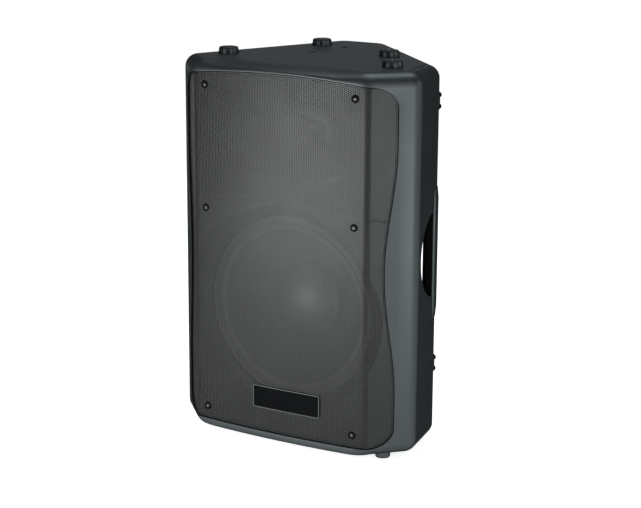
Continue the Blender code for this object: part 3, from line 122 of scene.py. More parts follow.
class CabinetColours(bpy.types.PropertyGroup):
    shell: colour("Shell", "Charcoal polypropylene", "#494e50")
    grille: colour("Grille", "Powder coat on the grille", "#464847")
    rubber: colour("Rubber", "Feet", "#4e5456")
    pad: colour("Pad", "Monitor pads", "#141718")
    plastic: colour("Black plastic", "Grip, sockets and knobs", "#17191a")
    # Painted shade: the shell's own moulding, darker where it lies behind the grille
    baffle: colour("Baffle", "Moulding behind the grille", "#262828")
    # Painted shade: a near-black colour for the handle's cup, the grip's inner faces and the horn's deep
    # flare
    shade: colour("Shade", "Inside of the handle and the horn", "#161818")
    horn: colour("Horn", "Horn and its panel behind the grille", "#282a2a")
    cone: colour("Cone", "Coated paper", "#3e4040")
    dome: colour("Dust cap", "Metallised dust cap", "#6c6e6c")
    surround: colour("Surround", "Doped cloth", "#8a8c8c")
    badge: colour("Badge", "Bare badge plate", "#101112")
    edge: colour("Badge edge", "Edge line of the badge", "#4f5354")
    mark: colour("Pale mark", "Marks of the knobs", "#c9cdcd")
    panel: colour("Panel", "Amplifier panel", "#26282a")
    screw: colour("Screw", "Blackened screws and washers", "#1b1c1d")
    head: colour("Screw head", "Nickel plated heads of the grille's screws", "#5e6161")
    steel: colour("Steel", "Zinc plated steel", "#b9bbbd")
    floor: colour("Floor", "Studio floor", "#e7e7e7")


def sizes():
    """The sizes that the panel shows."""
    return bpy.context.scene.pa_sizes


def colours():
    """The colours that the panel shows."""
    return bpy.context.scene.pa_colours


# Outlines

def inset(corners, distance, least=0.0008):
    """Moves every side of an anticlockwise outline inwards; each corner is (x, y, radius)."""
    count = len(corners)
    sides = []
    for i in range(count):
        start = Vector(corners[i][:2])
        along = (Vector(corners[(i + 1) % count][:2]) - start).normalized()
        sides.append((start + Vector((-along.y, along.x)) * distance, along))
    moved = []
    for i in range(count):
        (p, u), (q, v) = sides[i - 1], sides[i]
        turn = u.cross(v)
        point = p + u * ((q - p).cross(v) / turn if abs(turn) > 1e-7 else (q - p).dot(u))
        moved.append((point.x, point.y, max(corners[i][2] - distance, least) if corners[i][2] else 0.0))
    return moved


def filleted(corners, step=ARC_STEP):
    """Replaces each corner that has a radius by an arc."""
    count = len(corners)
    points = []
    for i in range(count):
        x, y, radius = corners[i]
        here = Vector((x, y))
        to_last = (Vector(corners[i - 1][:2]) - here).normalized()
        to_next = (Vector(corners[(i + 1) % count][:2]) - here).normalized()
        turn = math.pi - to_last.angle(to_next)
        if not radius or turn < 0.01:
            points.append((x, y))
            continue
        centre = here + (to_last + to_next).normalized() * radius / math.cos(turn / 2)
        first = here + to_last * radius * math.tan(turn / 2) - centre
        last = here + to_next * radius * math.tan(turn / 2) - centre
        steps = max(2, round(turn / step))
        way = math.copysign(turn, first.cross(last))
        for k in range(steps + 1):
            arm = Matrix.Rotation(way * k / steps, 2) @ first
            points.append((centre.x + arm.x, centre.y + arm.y))
    return points


def rectangle(width, height, radius=0.0, centre=(0.0, 0.0)):
    """An upright rectangle, anticlockwise, with rounded corners."""
    (cx, cy), w, h = centre, width / 2, height / 2
    return filleted([(cx - w, cy - h, radius), (cx + w, cy - h, radius),
                     (cx + w, cy + h, radius), (cx - w, cy + h, radius)], math.radians(15))


def front_y():
    """Where the foremost line of the bezel lies; the plan's depths count from there."""
    return -sizes().depth / 2


def crown_y(x):
    """How far the crowned front has dropped back at a place across."""
    s = sizes()
    return s.crown * (x / s.crease_x) ** 2


SIDE_BEND = 0.021
REAR_BEND = 0.034


def plan_corners(bend):
    """The cabinet from above, anticlockwise from the left crease."""
    s = sizes()
    stations = [s.crease_x * k / 20 for k in range(-17, 18)]
    rear_right_x = s.side_end_x - (s.depth - s.side_end_y)
    corners = [(-s.crease_x, s.crown, bend), *[(x, crown_y(x), 0.0) for x in stations],
               (s.crease_x, s.crown, bend), (s.half_width, s.wing_depth, SIDE_BEND),
               (s.side_end_x, s.side_end_y, SIDE_BEND), (rear_right_x, s.depth, REAR_BEND),
               (s.rear_left_x, s.depth, REAR_BEND), (-s.half_width, s.wing_depth, SIDE_BEND)]
    return [(x, y + front_y(), r) for x, y, r in corners]


def plan(distance, bend):
    """The cabinet from above with rounded corners, moved inwards."""
    return filleted(inset(plan_corners(bend), distance))


GRILLE_HALF = 0.1757
GRILLE_WAIST = 0.0122
GRILLE_WAIST_Z = 0.278
GRILLE_WAIST_REACH = 0.180
GRILLE_CREST = 0.5485
GRILLE_DROP = 0.0085
GRILLE_DROP_X = 0.144
GRILLE_LOW = 0.0215
GRILLE_CORNER = 0.030


def grille_half_width(z):
    """Half the width of the grille's recess at a height: it waves in to a waist."""
    reach = np.clip((z - GRILLE_WAIST_Z) / GRILLE_WAIST_REACH, -1, 1)
    return GRILLE_HALF - GRILLE_WAIST / 2 * (1 + np.cos(np.pi * reach))


def grille_top(x):
    """Height of that recess's upper edge, which drops towards the sides."""
    return GRILLE_CREST - GRILLE_DROP * (x / GRILLE_DROP_X) ** 2


GRILLE_INNER_X = GRILLE_HALF - GRILLE_CORNER
GRILLE_LOW_Z = GRILLE_LOW + GRILLE_CORNER
GRILLE_HIGH_Z = grille_top(GRILLE_INNER_X) - GRILLE_CORNER


def grille_outline(distance):
    """Front view of that recess, anticlockwise from its lower edge, moved inwards."""
    quarter = [math.pi / 2 * k / 14 for k in range(15)]
    arms = [(GRILLE_CORNER * math.sin(a), GRILLE_CORNER * math.cos(a)) for a in quarter]
    low = [(GRILLE_INNER_X + across, GRILLE_LOW_Z - up) for across, up in arms]
    high = [(GRILLE_INNER_X + across, GRILLE_HIGH_Z + up) for up, across in arms]
    levels = [GRILLE_LOW_Z + (GRILLE_HIGH_Z - GRILLE_LOW_Z) * k / 60 for k in range(1, 60)]
    side = [(float(grille_half_width(z)), z) for z in levels]
    stations = [GRILLE_INNER_X * k / 12 for k in range(1, 12)]
    crest = [(x, grille_top(x)) for x in reversed(stations)]
    half = [(x, GRILLE_LOW) for x in stations] + low + side + high + crest
    mirrored = [(-x, z) for x, z in reversed(half)]
    whole = [(0.0, GRILLE_LOW)] + half + [(0.0, grille_top(0.0))] + mirrored
    return [(x, z) for x, z, _ in inset([(x, z, 0.0) for x, z in whole], distance)]


# Meshes

def to_mesh(shape, name="shape"):
    """A bmesh turned into a mesh with its faces looking outwards."""
    bmesh.ops.recalc_face_normals(shape, faces=shape.faces)
    mesh = bpy.data.meshes.new(name)
    shape.to_mesh(mesh)
    shape.free()
    return mesh


def from_mesh(mesh):
    """A mesh opened as a bmesh."""
    shape = bmesh.new()
    shape.from_mesh(mesh)
    return shape


def loft(rings, closed=False):
    """Rings of equal count joined one after the other; the two ends are capped, or joined to each other."""
    shape = bmesh.new()
    loops = []
    for ring in rings:
        corners = [shape.verts.new(point) for point in ring]
        loops.append([shape.edges.new((corners[k - 1], corners[k])) for k in range(len(corners))])
    for first, second in zip(loops, loops[1:] + loops[:1] if closed else loops[1:]):
        bmesh.ops.bridge_loops(shape, edges=first + second)
    if not closed:
        bmesh.ops.holes_fill(shape, edges=loops[0])
        bmesh.ops.holes_fill(shape, edges=loops[-1])
    return to_mesh(shape)


def prism(outline, low, high, matrix=Matrix()):
    """A flat outline in XY made solid between two heights."""
    shape = bmesh.new()
    face = shape.faces.new([shape.verts.new((x, y, low)) for x, y in outline])
    grown = bmesh.ops.extrude_face_region(shape, geom=[face])["geom"]
    lifted = [v for v in grown if isinstance(v, bmesh.types.BMVert)]
    bmesh.ops.translate(shape, verts=lifted, vec=(0, 0, high - low))
    bmesh.ops.transform(shape, matrix=matrix, verts=shape.verts)
    return to_mesh(shape)


UPRIGHT = Matrix(((1, 0, 0, 0), (0, 0, 1, 0), (0, 1, 0, 0), (0, 0, 0, 1)))


def upright_prism(outline, front, back, matrix=Matrix()):
    """A front-view outline in XZ made solid between two depths."""
    return prism(outline, front, back, matrix @ UPRIGHT)


def spun(profile, matrix=Matrix(), steps=SPIN_STEPS, angle=2 * math.pi):
    """A closed profile of (radius, height) turned about Z, then placed; a part turn gets end faces."""
    shape = bmesh.new()
    corners = [shape.verts.new((r, 0.0, h)) for r, h in profile]
    whole = angle > 6.28
    if whole:
        pairs = list(zip(corners, corners[1:] + corners[:1]))
        section = [shape.edges.new(p) for p in pairs if p[0].co.x > 0 or p[1].co.x > 0]
    else:
        face = shape.faces.new(corners)
        section = [*face.edges, face]
    bmesh.ops.spin(shape, geom=corners + section, axis=(0, 0, 1), cent=(0, 0, 0), angle=angle, steps=steps,
                   use_merge=whole)
    bmesh.ops.remove_doubles(shape, verts=shape.verts, dist=1e-6)
    bmesh.ops.transform(shape, matrix=matrix, verts=shape.verts)
    return to_mesh(shape)


def box(low, high, matrix=Matrix(), round_by=0.0, segments=2):
    """A block between two corners, with its edges rounded."""
    shape = bmesh.new()
    bmesh.ops.create_cube(shape, size=1.0)
    low, high = Vector(low), Vector(high)
    bmesh.ops.scale(shape, verts=shape.verts, vec=high - low)
    bmesh.ops.translate(shape, verts=shape.verts, vec=(low + high) / 2)
    if round_by:
        soften(shape, list(shape.edges), round_by, segments)
    bmesh.ops.transform(shape, matrix=matrix, verts=shape.verts)
    return to_mesh(shape)


def rod(radius, start, end, matrix=Matrix(), steps=32):
    """A round bar between two points."""
    start, end = Vector(start), Vector(end)
    shape = bmesh.new()
    aim = (end - start).to_track_quat("Z", "Y").to_matrix().to_4x4()
    middle = matrix @ Matrix.Translation((start + end) / 2)
    bmesh.ops.create_cone(shape, cap_ends=True, segments=steps, radius1=radius, radius2=radius,
                          depth=(end - start).length, matrix=middle @ aim)
    return to_mesh(shape)


def level_rod(radius, spot, front, back, matrix=Matrix(), steps=32):
    """A bar along the depth at a spot (x, z) of a face."""
    x, z = spot
    return rod(radius, (x, front, z), (x, back, z), matrix, steps)


def upright_rod(radius, spot, low, high, steps=32):
    """An upright bar at a spot of the plan, whose depth counts from the cabinet's front."""
    x, y = spot[0], spot[1] + front_y()
    return rod(radius, (x, y, low), (x, y, high), steps=steps)


def ellipsoid(semi_axes, matrix):
    """A stretched ball."""
    shape = bmesh.new()
    bmesh.ops.create_uvsphere(shape, u_segments=96, v_segments=64, radius=1.0)
    bmesh.ops.transform(shape, matrix=matrix @ Matrix.Diagonal((*semi_axes, 1.0)), verts=shape.verts)
    return to_mesh(shape)


def soften(shape, edges, width, segments=2):
    """Rounds edges of a bmesh."""
    bmesh.ops.bevel(shape, geom=edges, offset=width, offset_type="OFFSET", segments=segments, profile=0.5,
                    affect="EDGES", clamp_overlap=True, material=-1)


def softened(mesh, test, width, segments=2):
    """Rounds the edges of a mesh whose two ends pass a test."""
    shape = from_mesh(mesh)
    edges = [e for e in shape.edges if test(e.verts[0].co) and test(e.verts[1].co)]
    soften(shape, edges, width, segments)
    return to_mesh(shape)


def boolean(mesh, tool, operation="DIFFERENCE"):
    """One mesh cut by, joined with or kept inside another."""
    blank, cutter = bpy.data.objects.new("blank", mesh), bpy.data.objects.new("tool", tool)
    for item in (blank, cutter):
        bpy.context.scene.collection.objects.link(item)
    step = blank.modifiers.new("cut", "BOOLEAN")
    step.object, step.operation, step.solver = cutter, operation, "EXACT"
    graph = bpy.context.evaluated_depsgraph_get()
    result = bpy.data.meshes.new_from_object(blank.evaluated_get(graph))
    for item in (blank, cutter):
        bpy.data.objects.remove(item, do_unlink=True)
    return result


def merged(meshes):
    """Several separate shells in one mesh."""
    shape = bmesh.new()
    for mesh in meshes:
        shape.from_mesh(mesh)
    return to_mesh(shape)


def placed(mesh, matrix):
    """A copy of a mesh moved to its place."""
    copy = mesh.copy()
    copy.transform(matrix)
    return copy


def turned_frame(along, point):
    """A frame at a point, its x axis along a level direction and its z axis up."""
    x, y, z = point
    return Matrix(((along.x, -along.y, 0, x), (along.y, along.x, 0, y), (0, 0, 1, z), (0, 0, 0, 1)))


def piece(name, mesh, material, body="cabinet", stands_for=(), angle=32, bend=None):
    """Puts a finished mesh in the scene, riding on its CAD body, or fixed where it is when a bend is given.
    """
    mesh.name = name
    mesh.materials.clear()
    mesh.materials.append(material)
    mesh.shade_smooth()
    mesh.set_sharp_from_angle(angle=math.radians(angle))
    item = bpy.data.objects.new(name, mesh)
    bpy.context.scene.collection.objects.link(item)
    if bend:
        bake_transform(item)
    else:
        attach(item, body)
    if stands_for:
        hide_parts(*stands_for)
    return item


def second_finish(item, finish, test):
    """Gives a second finish to the faces whose middle passes a test."""
    item.data.materials.append(finish)
    for face in item.data.polygons:
        face.material_index = int(test(face.center))


# Materials

MM_PER_M = 1000
# A wave texture at scale 1 repeats after this length
WAVE_PERIOD = math.pi / 10


def node(tree, kind, **inputs):
    """Adds a node; keyword values go to sockets, or are linked if they are sockets themselves."""
    item = tree.nodes.new(kind)
    for key, value in inputs.items():
        label = key.replace("_", " ")
        socket = item.inputs[label] if label in item.inputs else item.inputs[int(key[1:])]
        if isinstance(value, bpy.types.NodeSocket):
            tree.links.new(value, socket)
        else:
            socket.default_value = value
    return item


def material(name, base, roughness, metallic=0.0, glance=None, tone=0.1, tone_mm=30.0, mottle=0.05,
             mottle_mm=40.0, grain=0.2, grain_mm=0.8, threads="", thread_mm=0.6):
    """A Principled finish: a slow change of tone, a mottled roughness, and grain or threads as bump."""
    made = bpy.data.materials.get(name)
    if made:
        return made
    made = bpy.data.materials.new(name)
    made.use_nodes = True
    tree = made.node_tree
    shader = tree.nodes["Principled BSDF"]
    shader.inputs["Metallic"].default_value = metallic
    if glance is not None:
        shader.inputs["Specular IOR Level"].default_value = 0.0
        shader.inputs["Specular Tint"].default_value = (glance, glance, glance, 1.0)
    place = node(tree, "ShaderNodeTexCoord").outputs["Object"]
    tones = node(tree, "ShaderNodeTexNoise", Vector=place, Scale=MM_PER_M / tone_mm, Detail=4.0)
    value = node(tree, "ShaderNodeMapRange", Value=tones.outputs["Fac"], To_Min=1 - tone, To_Max=1 + tone)
    tint = node(tree, "ShaderNodeHueSaturation", Value=value.outputs["Result"], Color=(*base, 1.0))
    tree.links.new(tint.outputs["Color"], shader.inputs["Base Color"])
    spots = node(tree, "ShaderNodeTexNoise", Vector=place, Scale=MM_PER_M / mottle_mm, Detail=3.0)
    dull = node(tree, "ShaderNodeMapRange", Value=spots.outputs["Fac"], To_Min=roughness - mottle,
                To_Max=roughness + mottle)
    tree.links.new(dull.outputs["Result"], shader.inputs["Roughness"])
    grit = node(tree, "ShaderNodeTexNoise", Vector=place, Scale=MM_PER_M / grain_mm, Detail=2.0)
    height = grit.outputs["Fac"]
    for axis in threads:
        scale = WAVE_PERIOD * MM_PER_M / thread_mm
        waves = node(tree, "ShaderNodeTexWave", Vector=place, Scale=scale, Distortion=0.4)
        waves.bands_direction = axis
        height = node(tree, "ShaderNodeMath", i0=height, i1=waves.outputs["Fac"]).outputs["Value"]
    bump = node(tree, "ShaderNodeBump", Strength=grain, Distance=0.0001, Height=height)
    tree.links.new(bump.outputs["Normal"], shader.inputs["Normal"])
    return made


def finishes():
    """All finishes by name, each after the real material and what it gives the eye."""
    c = colours()
    # Real grit of 0.1 to 0.3 mm is too fine to show in the render, so grain is drawn a few times coarser
    return {
        # Charcoal polypropylene from an etched mould: a satin sheen, kept low by its grain at a flat angle
        "shell": material("etched_polypropylene", c.shell, 0.42, 0.7, 0.15, grain=0.3, grain_mm=0.7,
                          tone_mm=60.0),
        # The same moulding behind the grille, left smooth: its colour, darker than the shell's, is painted
        # shade
        "baffle": material("painted_shade_baffle_polypropylene", c.baffle, 0.5, 0.7, 0.4, grain=0.1, grain_mm=1.5),
        # Moulding deep in the handle and the horn, with a coarse grain: its near-black colour is painted
        # shade where little light gets there
        "shade": material("painted_shade_polypropylene", c.shade, 0.7, 0.7, 0.3, grain=0.6, grain_mm=1.2),
        # Punched steel under a satin powder coat: even, a little glossier than the shell
        "grille": material("powder_coated_steel", c.grille, 0.40, 0.7, 0.4, grain=0.1, grain_mm=0.4),
        # Matt rubber of the pads: nearly black, with no highlight
        "pad": material("matt_rubber", c.pad, 0.7, 0.7, 0.2, grain=0.3, grain_mm=0.9),
        # Moulded rubber of the feet: black, with soft upright highlights on its polished sides
        "rubber": material("moulded_rubber", c.rubber, 0.36, 0.7, 0.1, grain=0.15, grain_mm=0.9),
        # Black ABS with a light texture: a plain soft gloss
        "plastic": material("black_abs", c.plastic, 0.45, grain=0.2, grain_mm=0.6),
        # Smooth black polypropylene of the horn: broad dull reflections on its flange and its mouth
        "horn": material("smooth_polypropylene", c.horn, 0.5, 0.7, 0.3, grain=0.1, grain_mm=1.5),
        # Long-fibre paper pulp under a dark coating: a fibrous grey that shows through the grille
        "cone": material("coated_paper_pulp", c.cone, 0.55, 0.3, 0.3, grain=0.7, grain_mm=1.4, tone=0.2,
                         tone_mm=12.0),
        # Dust cap of paper with a metallised skin: a bright spot in the middle of the cone
        "dome": material("metallised_paper", c.dome, 0.45, 0.8, 0.4, grain=0.3, grain_mm=1.2),
        # Woven cloth soaked in sealing dope: a faint gloss over the threads
        "surround": material("doped_cloth", c.surround, 0.42, 0.6, 0.4, grain=0.5, threads="XZ"),
        # Black lacquered plate of the badge, left bare: darker and smoother than the grille round it
        "badge": material("black_lacquer", c.badge, 0.35, 0.7, 0.3, grain=0.05, grain_mm=2.0),
        # Bright edge of the badge where the lacquer is rubbed through: a thin grey line
        "edge": material("rubbed_lacquer", c.edge, 0.45, 0.3, tone=0.2, tone_mm=4.0),
        # Print in pale ink, thin and slightly worn
        "mark": material("pale_print", c.mark, 0.5, tone=0.2, tone_mm=4.0),
        # Steel panel under a black wrinkle coat: many tiny glints
        "panel": material("wrinkle_coated_steel", c.panel, 0.55, 0.2, grain=0.6, grain_mm=1.0),
        # Screws and washers blackened by a phosphate bath: almost black, with a dull metal edge
        "screw": material("phosphated_steel", c.screw, 0.4, 0.7, 0.3, mottle_mm=3.0, grain_mm=0.3),
        # Nickel plated screw heads: grey metal that glints in the cup of the washer
        "head": material("nickel_plated_steel", c.head, 0.4, 1.0, mottle_mm=3.0, grain_mm=0.3),
        # Zinc plated steel with its cloudy spangle
        "steel": material("zinc_plated_steel", c.steel, 0.3, 1.0, mottle=0.08, mottle_mm=15.0, grain=0.1),
    }


# Shells

def seam_line(gap):
    """The parting line of the two shells from above: it bows back in the middle."""
    s = sizes()
    base = front_y() + s.seam_y + gap
    bow = [s.seam_half * k / 24 for k in range(-24, 25)]
    return [(-FAR, base), *[(x, base + s.seam_rise * (1 - (x / s.seam_half) ** 2)) for x in bow], (FAR, base)]


def ease(value, start, end):
    """0 before start, 1 after end and smooth between them."""
    t = min(max((value - start) / (end - start), 0.0), 1.0)
    return t * t * (3 - 2 * t)


FRONT_RIM_X = (0.118, 0.163)
BROW_X = (0.085, 0.140)
LIP_X = (0.135, 0.165)
LIP_GAP = 0.0012
RIM_Y = (0.020, 0.050)


def low_rim(x, y):
    """How far in and up the rim under the cabinet reaches: tight below the grille, rounder elsewhere."""
    s = sizes()
    away = max(ease(abs(x), *FRONT_RIM_X), ease(y - front_y(), *RIM_Y))
    radius = s.front_rim + (s.side_rim - s.front_rim) * away
    return radius, radius


def high_rim(x, y):
    """How far in and down the rim on top reaches: a long slope over the grille, round elsewhere."""
    s = sizes()
    behind = ease(y - front_y(), *RIM_Y)
    lip = s.foot + s.height - grille_top(x) - LIP_GAP
    deep = s.brow + (s.side_rim - s.brow) * max(ease(abs(x), *BROW_X), behind)
    tall = lip + (s.side_rim - lip) * max(ease(abs(x), *LIP_X), behind)
    return deep, tall


def body_block():
    """The whole cabinet block, with its rims rounded."""
    s = sizes()
    points = [Vector(p) for p in plan(0.0, s.shell_bend)]
    count = len(points)
    inward = []
    for i in range(count):
        before, after = points[i] - points[i - 1], points[(i + 1) % count] - points[i]
        along = (before.normalized() + after.normalized()).normalized()
        inward.append(Vector((-along.y, along.x)))
    quarter = [math.pi / 2 * k / 12 for k in range(13)]

    def rim_ring(a, rim, level, way):
        ring = []
        for p, n in zip(points, inward):
            deep, tall = rim(p.x, p.y)
            height = level + way * tall * (1 - math.cos(a))
            ring.append((*(p + n * deep * (1 - math.sin(a))), height))
        return ring

    rings = [rim_ring(a, low_rim, s.foot, 1) for a in quarter]
    rings += [rim_ring(a, high_rim, s.foot + s.height, -1) for a in reversed(quarter)]
    return loft(rings)


def plan_prism(distance):
    """All that lies deeper than a distance under the cabinet's sides."""
    return prism(plan(distance, sizes().sheet_bend), -FAR, FAR)


def layer(mesh, outer, inner):
    """What a mesh has between two depths under the cabinet's sides."""
    return boolean(boolean(mesh, plan_prism(outer), "INTERSECT"), plan_prism(inner))


def near_outline(outline, reach):
    """A test of whether a point lies on a front-view outline."""
    a = np.array(outline)
    b = np.roll(a, -1, axis=0)
    span = b - a
    length = (span ** 2).sum(1)

    def test(point):
        p = np.array((point.x, point.z))
        t = np.clip(((p - a) * span).sum(1) / length, 0, 1)
        return ((a + span * t[:, None] - p) ** 2).sum(1).min() < reach ** 2
    return test


BAFFLE_BACK = 0.056
PANEL_FRAME = ((0.1906, 0.3506, 0.006), -0.014)
POLE_POINT = (-0.006, 0.152)
POLE_HOLE_R = 0.0208


def cabinet_hollow():
    """The space inside both mouldings, behind the baffle and clear of the frame round the amplifier panel."""
    s = sizes()
    space = prism(plan(s.wall, s.shell_bend), s.foot + s.end_wall, s.foot + s.height - s.end_wall)
    space = boolean(space, box((-FAR, front_y() + BAFFLE_BACK, -FAR), (FAR, FAR, FAR)), "INTERSECT")
    outline, depth = PANEL_FRAME
    return boolean(space, upright_prism(rectangle(*outline), depth, 0.1, amp_place()))


SEAM_GAP = 0.0002
SEAM_BAND = 0.0006
SEAM_ROUND = 0.0005
RECESS_BACK = 0.058
RECESS_ROUND = 0.0009
RECESS_BAND = 0.0020
DISH_WALL = 0.030
DISH_TAPER = 0.004
BASKET_HOLE_R = 0.1415
HORN_ROOM = 0.0045
GAP_DEPTH = 0.006
AMP_SEAT = (0.1706, 0.3306, 0.006)
AMP_SEAT_DEPTH = 0.008
AMP_OPENING = (0.154, 0.314, 0.006)
FLY_POINTS = ((-0.041, 0.168), (-0.031, 0.244))
FLY_HOLE_R = 0.0066
SHELL_SHARP = 25


class PA_OT_shells(bpy.types.Operator):
    """Build the front moulding with its wavy recess, and the tapered rear moulding"""
    bl_idname = "pa.shells"
    bl_label = "Shells"

    def execute(self, context):
        block = boolean(body_block(), cabinet_hollow())
        behind = seam_line(-SEAM_GAP) + [(FAR, FAR), (-FAR, FAR)]
        before = [(-FAR, -FAR), (FAR, -FAR)] + seam_line(SEAM_GAP)[::-1]
        seam_x, seam_y = zip(*seam_line(0.0))

        def on_seam(point):
            return abs(point.y - np.interp(point.x, seam_x, seam_y)) < SEAM_BAND

        front = boolean(block.copy(), prism(behind, -FAR, FAR))
        rear = boolean(block, prism(before, -FAR, FAR))
        self.front(softened(front, on_seam, SEAM_ROUND, 1))
        self.rear(softened(rear, on_seam, SEAM_ROUND, 1))
        return {"FINISHED"}

    def front(self, front):
        s, f = sizes(), finishes()
        outline = grille_outline(0.0)
        recess = upright_prism(outline, -FAR, front_y() + RECESS_BACK)
        front = boolean(front, boolean(recess, plan_prism(s.recess_set)))
        edge = near_outline(outline, 1e-5)
        wing_end = front_y() + s.wing_depth + 0.001
        xs, ys = zip(*sorted(p for p in plan(0.0, s.shell_bend) if p[1] < wing_end))

        def on_face(point):
            return edge(point) and point.y < np.interp(point.x, xs, ys) + RECESS_BAND

        front = softened(front, on_face, RECESS_ROUND, 3)
        dish = [(0.0, 0.1), (s.dish_r, 0.1), (s.dish_r, DISH_WALL), (s.dish_r - DISH_TAPER, 0.0),
                (BASKET_HOLE_R, 0.0), (BASKET_HOLE_R, -0.2), (0.0, -0.2)]
        front = boolean(front, spun(dish, woofer_place()))
        front = boolean(front, upright_prism(mouth(HORN_ROOM), -FAR, FAR))
        gap = upright_prism(panel_gap(), -FAR, front_y() + 0.06)
        front = boolean(front, boolean(gap, plan_prism(s.recess_set + GAP_DEPTH)))
        item = piece("front_moulding", front, f["shell"], stands_for=["front_shell"],
                     angle=SHELL_SHARP)

        def on_baffle(point):
            deep = point.y > np.interp(point.x, xs, ys) + s.recess_set - 0.0015
            return deep and inside_grille(np.array(point.x), np.array(point.z), 0.0003)

        # Painted shade: faces of the moulding behind the grille take the darker baffle colour
        second_finish(item, f["baffle"], on_baffle)

    def rear(self, rear):
        room = boolean(handle_pocket(CUP_ROOM), plan_prism(CUP_ROOM_SET), "INTERSECT")
        rear = boolean(rear, room)
        rear = boolean(rear, handle_pocket(0.0))
        place = amp_place()
        rear = boolean(rear, upright_prism(rectangle(*AMP_SEAT), -AMP_SEAT_DEPTH, 0.1, place))
        rear = boolean(rear, upright_prism(rectangle(*AMP_OPENING), -0.2, 0.1, place))
        rear = boolean(rear, merged([upright_rod(FLY_HOLE_R, spot, 0.53, 0.60) for spot in FLY_POINTS]))
        rear = boolean(rear, groove_block())
        rear = boolean(rear, upright_rod(POLE_HOLE_R, POLE_POINT, -0.05, 0.05, 64))
        piece("rear_moulding", rear, finishes()["shell"], stands_for=["rear_shell"],
              angle=SHELL_SHARP)


GROOVE = ((0.1735, 0.071), (0.160, 0.146))
GROOVE_HALF = 0.0011
GROOVE_DEPTH = 0.0020


def groove_block():
    """A fine groove in the top that runs back from the right end of the seam."""
    s = sizes()
    start, end = [Vector((x, y + front_y())) for x, y in GROOVE]
    along = end - start
    aim = turned_frame(along.normalized(), (*start, s.foot + s.height))
    return box((0, -GROOVE_HALF, -GROOVE_DEPTH), (along.length, GROOVE_HALF, 0.01), aim)


# Grille

def sheet_line(distance):
    """The front surface from above as a line by arc length from the middle: s, x and y."""
    corners = inset(plan_corners(sizes().sheet_bend), distance)
    end = front_y() + sizes().wing_depth - 0.004
    points = np.array([p for p in filleted(corners, math.radians(2)) if p[1] < end])
    right = points[points[:, 0] >= -1e-9]
    right = right[np.argsort(right[:, 0])]
    run = np.concatenate([[0], np.cumsum(np.hypot(*np.diff(right, axis=0).T))])
    return run, right[:, 0], right[:, 1]


SLOPE_STEP = 0.0005


def on_sheet(along, distance):
    """Points and inward normals of the front surface at signed arc lengths from the middle."""
    run, xs, ys = sheet_line(distance)
    side, reach = np.sign(along), np.abs(along)
    x, y = np.interp(reach, run, xs), np.interp(reach, run, ys)
    ahead, behind = reach + SLOPE_STEP, np.maximum(reach - SLOPE_STEP, 0)
    dx = np.interp(ahead, run, xs) - np.interp(behind, run, xs)
    dy = np.interp(ahead, run, ys) - np.interp(behind, run, ys)
    long = np.maximum(np.hypot(dx, dy), 1e-9)
    return np.stack([x * side, y], -1), np.stack([-dy / long * side, dx / long], -1)


def inside_grille(x, z, margin):
    """Whether points of the front view lie inside the grille's outline by a margin."""
    x = np.abs(x)
    good = (x < grille_half_width(z) - margin) & (z > GRILLE_LOW + margin) & (z < grille_top(x) - margin)
    for level, corner in ((z < GRILLE_LOW_Z, GRILLE_LOW_Z), (z > GRILLE_HIGH_Z, GRILLE_HIGH_Z)):
        in_corner = level & (x > GRILLE_INNER_X)
        near = np.hypot(x - GRILLE_INNER_X, z - corner) < GRILLE_CORNER - margin
        good &= ~in_corner | near
    return good


HOLE_SIDES = 12
HOLE_MARGIN = 0.0017
GRILLE_COLUMNS = 85
GRILLE_BANDS = 10


def punched_cells(columns, rows, low):
    """A flat lattice of six-sided cells, each with a round hole, in arc length and height."""
    s = sizes()
    unit = bmesh.new()
    for across, up in ((0.0, 0.0), (s.pitch * math.sqrt(3) / 2, s.pitch / 2)):
        loops = []
        for sides, radius in ((6, s.pitch / math.sqrt(3)), (HOLE_SIDES, s.hole)):
            ring = bmesh.ops.create_circle(unit, segments=sides, radius=radius)["verts"]
            bmesh.ops.rotate(unit, verts=ring, matrix=Matrix.Rotation(math.pi / 2, 3, "Z"))
            bmesh.ops.translate(unit, verts=ring, vec=(across, up, 0.0))
            loops += {edge for corner in ring for edge in corner.link_edges}
        bmesh.ops.bridge_loops(unit, edges=loops)
    bmesh.ops.translate(unit, verts=unit.verts, vec=(-s.pitch * math.sqrt(3) * (columns // 2), low, 0.0))
    blank = bpy.data.objects.new("cells", to_mesh(unit))
    bpy.context.scene.collection.objects.link(blank)
    for count, step in ((columns, (s.pitch * math.sqrt(3), 0, 0)), (rows, (0, s.pitch, 0))):
        repeat = blank.modifiers.new("repeat", "ARRAY")
        repeat.count, repeat.use_relative_offset, repeat.use_constant_offset = count, False, True
        repeat.constant_offset_displace = step
    cells = bpy.data.meshes.new_from_object(blank.evaluated_get(bpy.context.evaluated_depsgraph_get()))
    bpy.data.objects.remove(blank, do_unlink=True)
    return cells


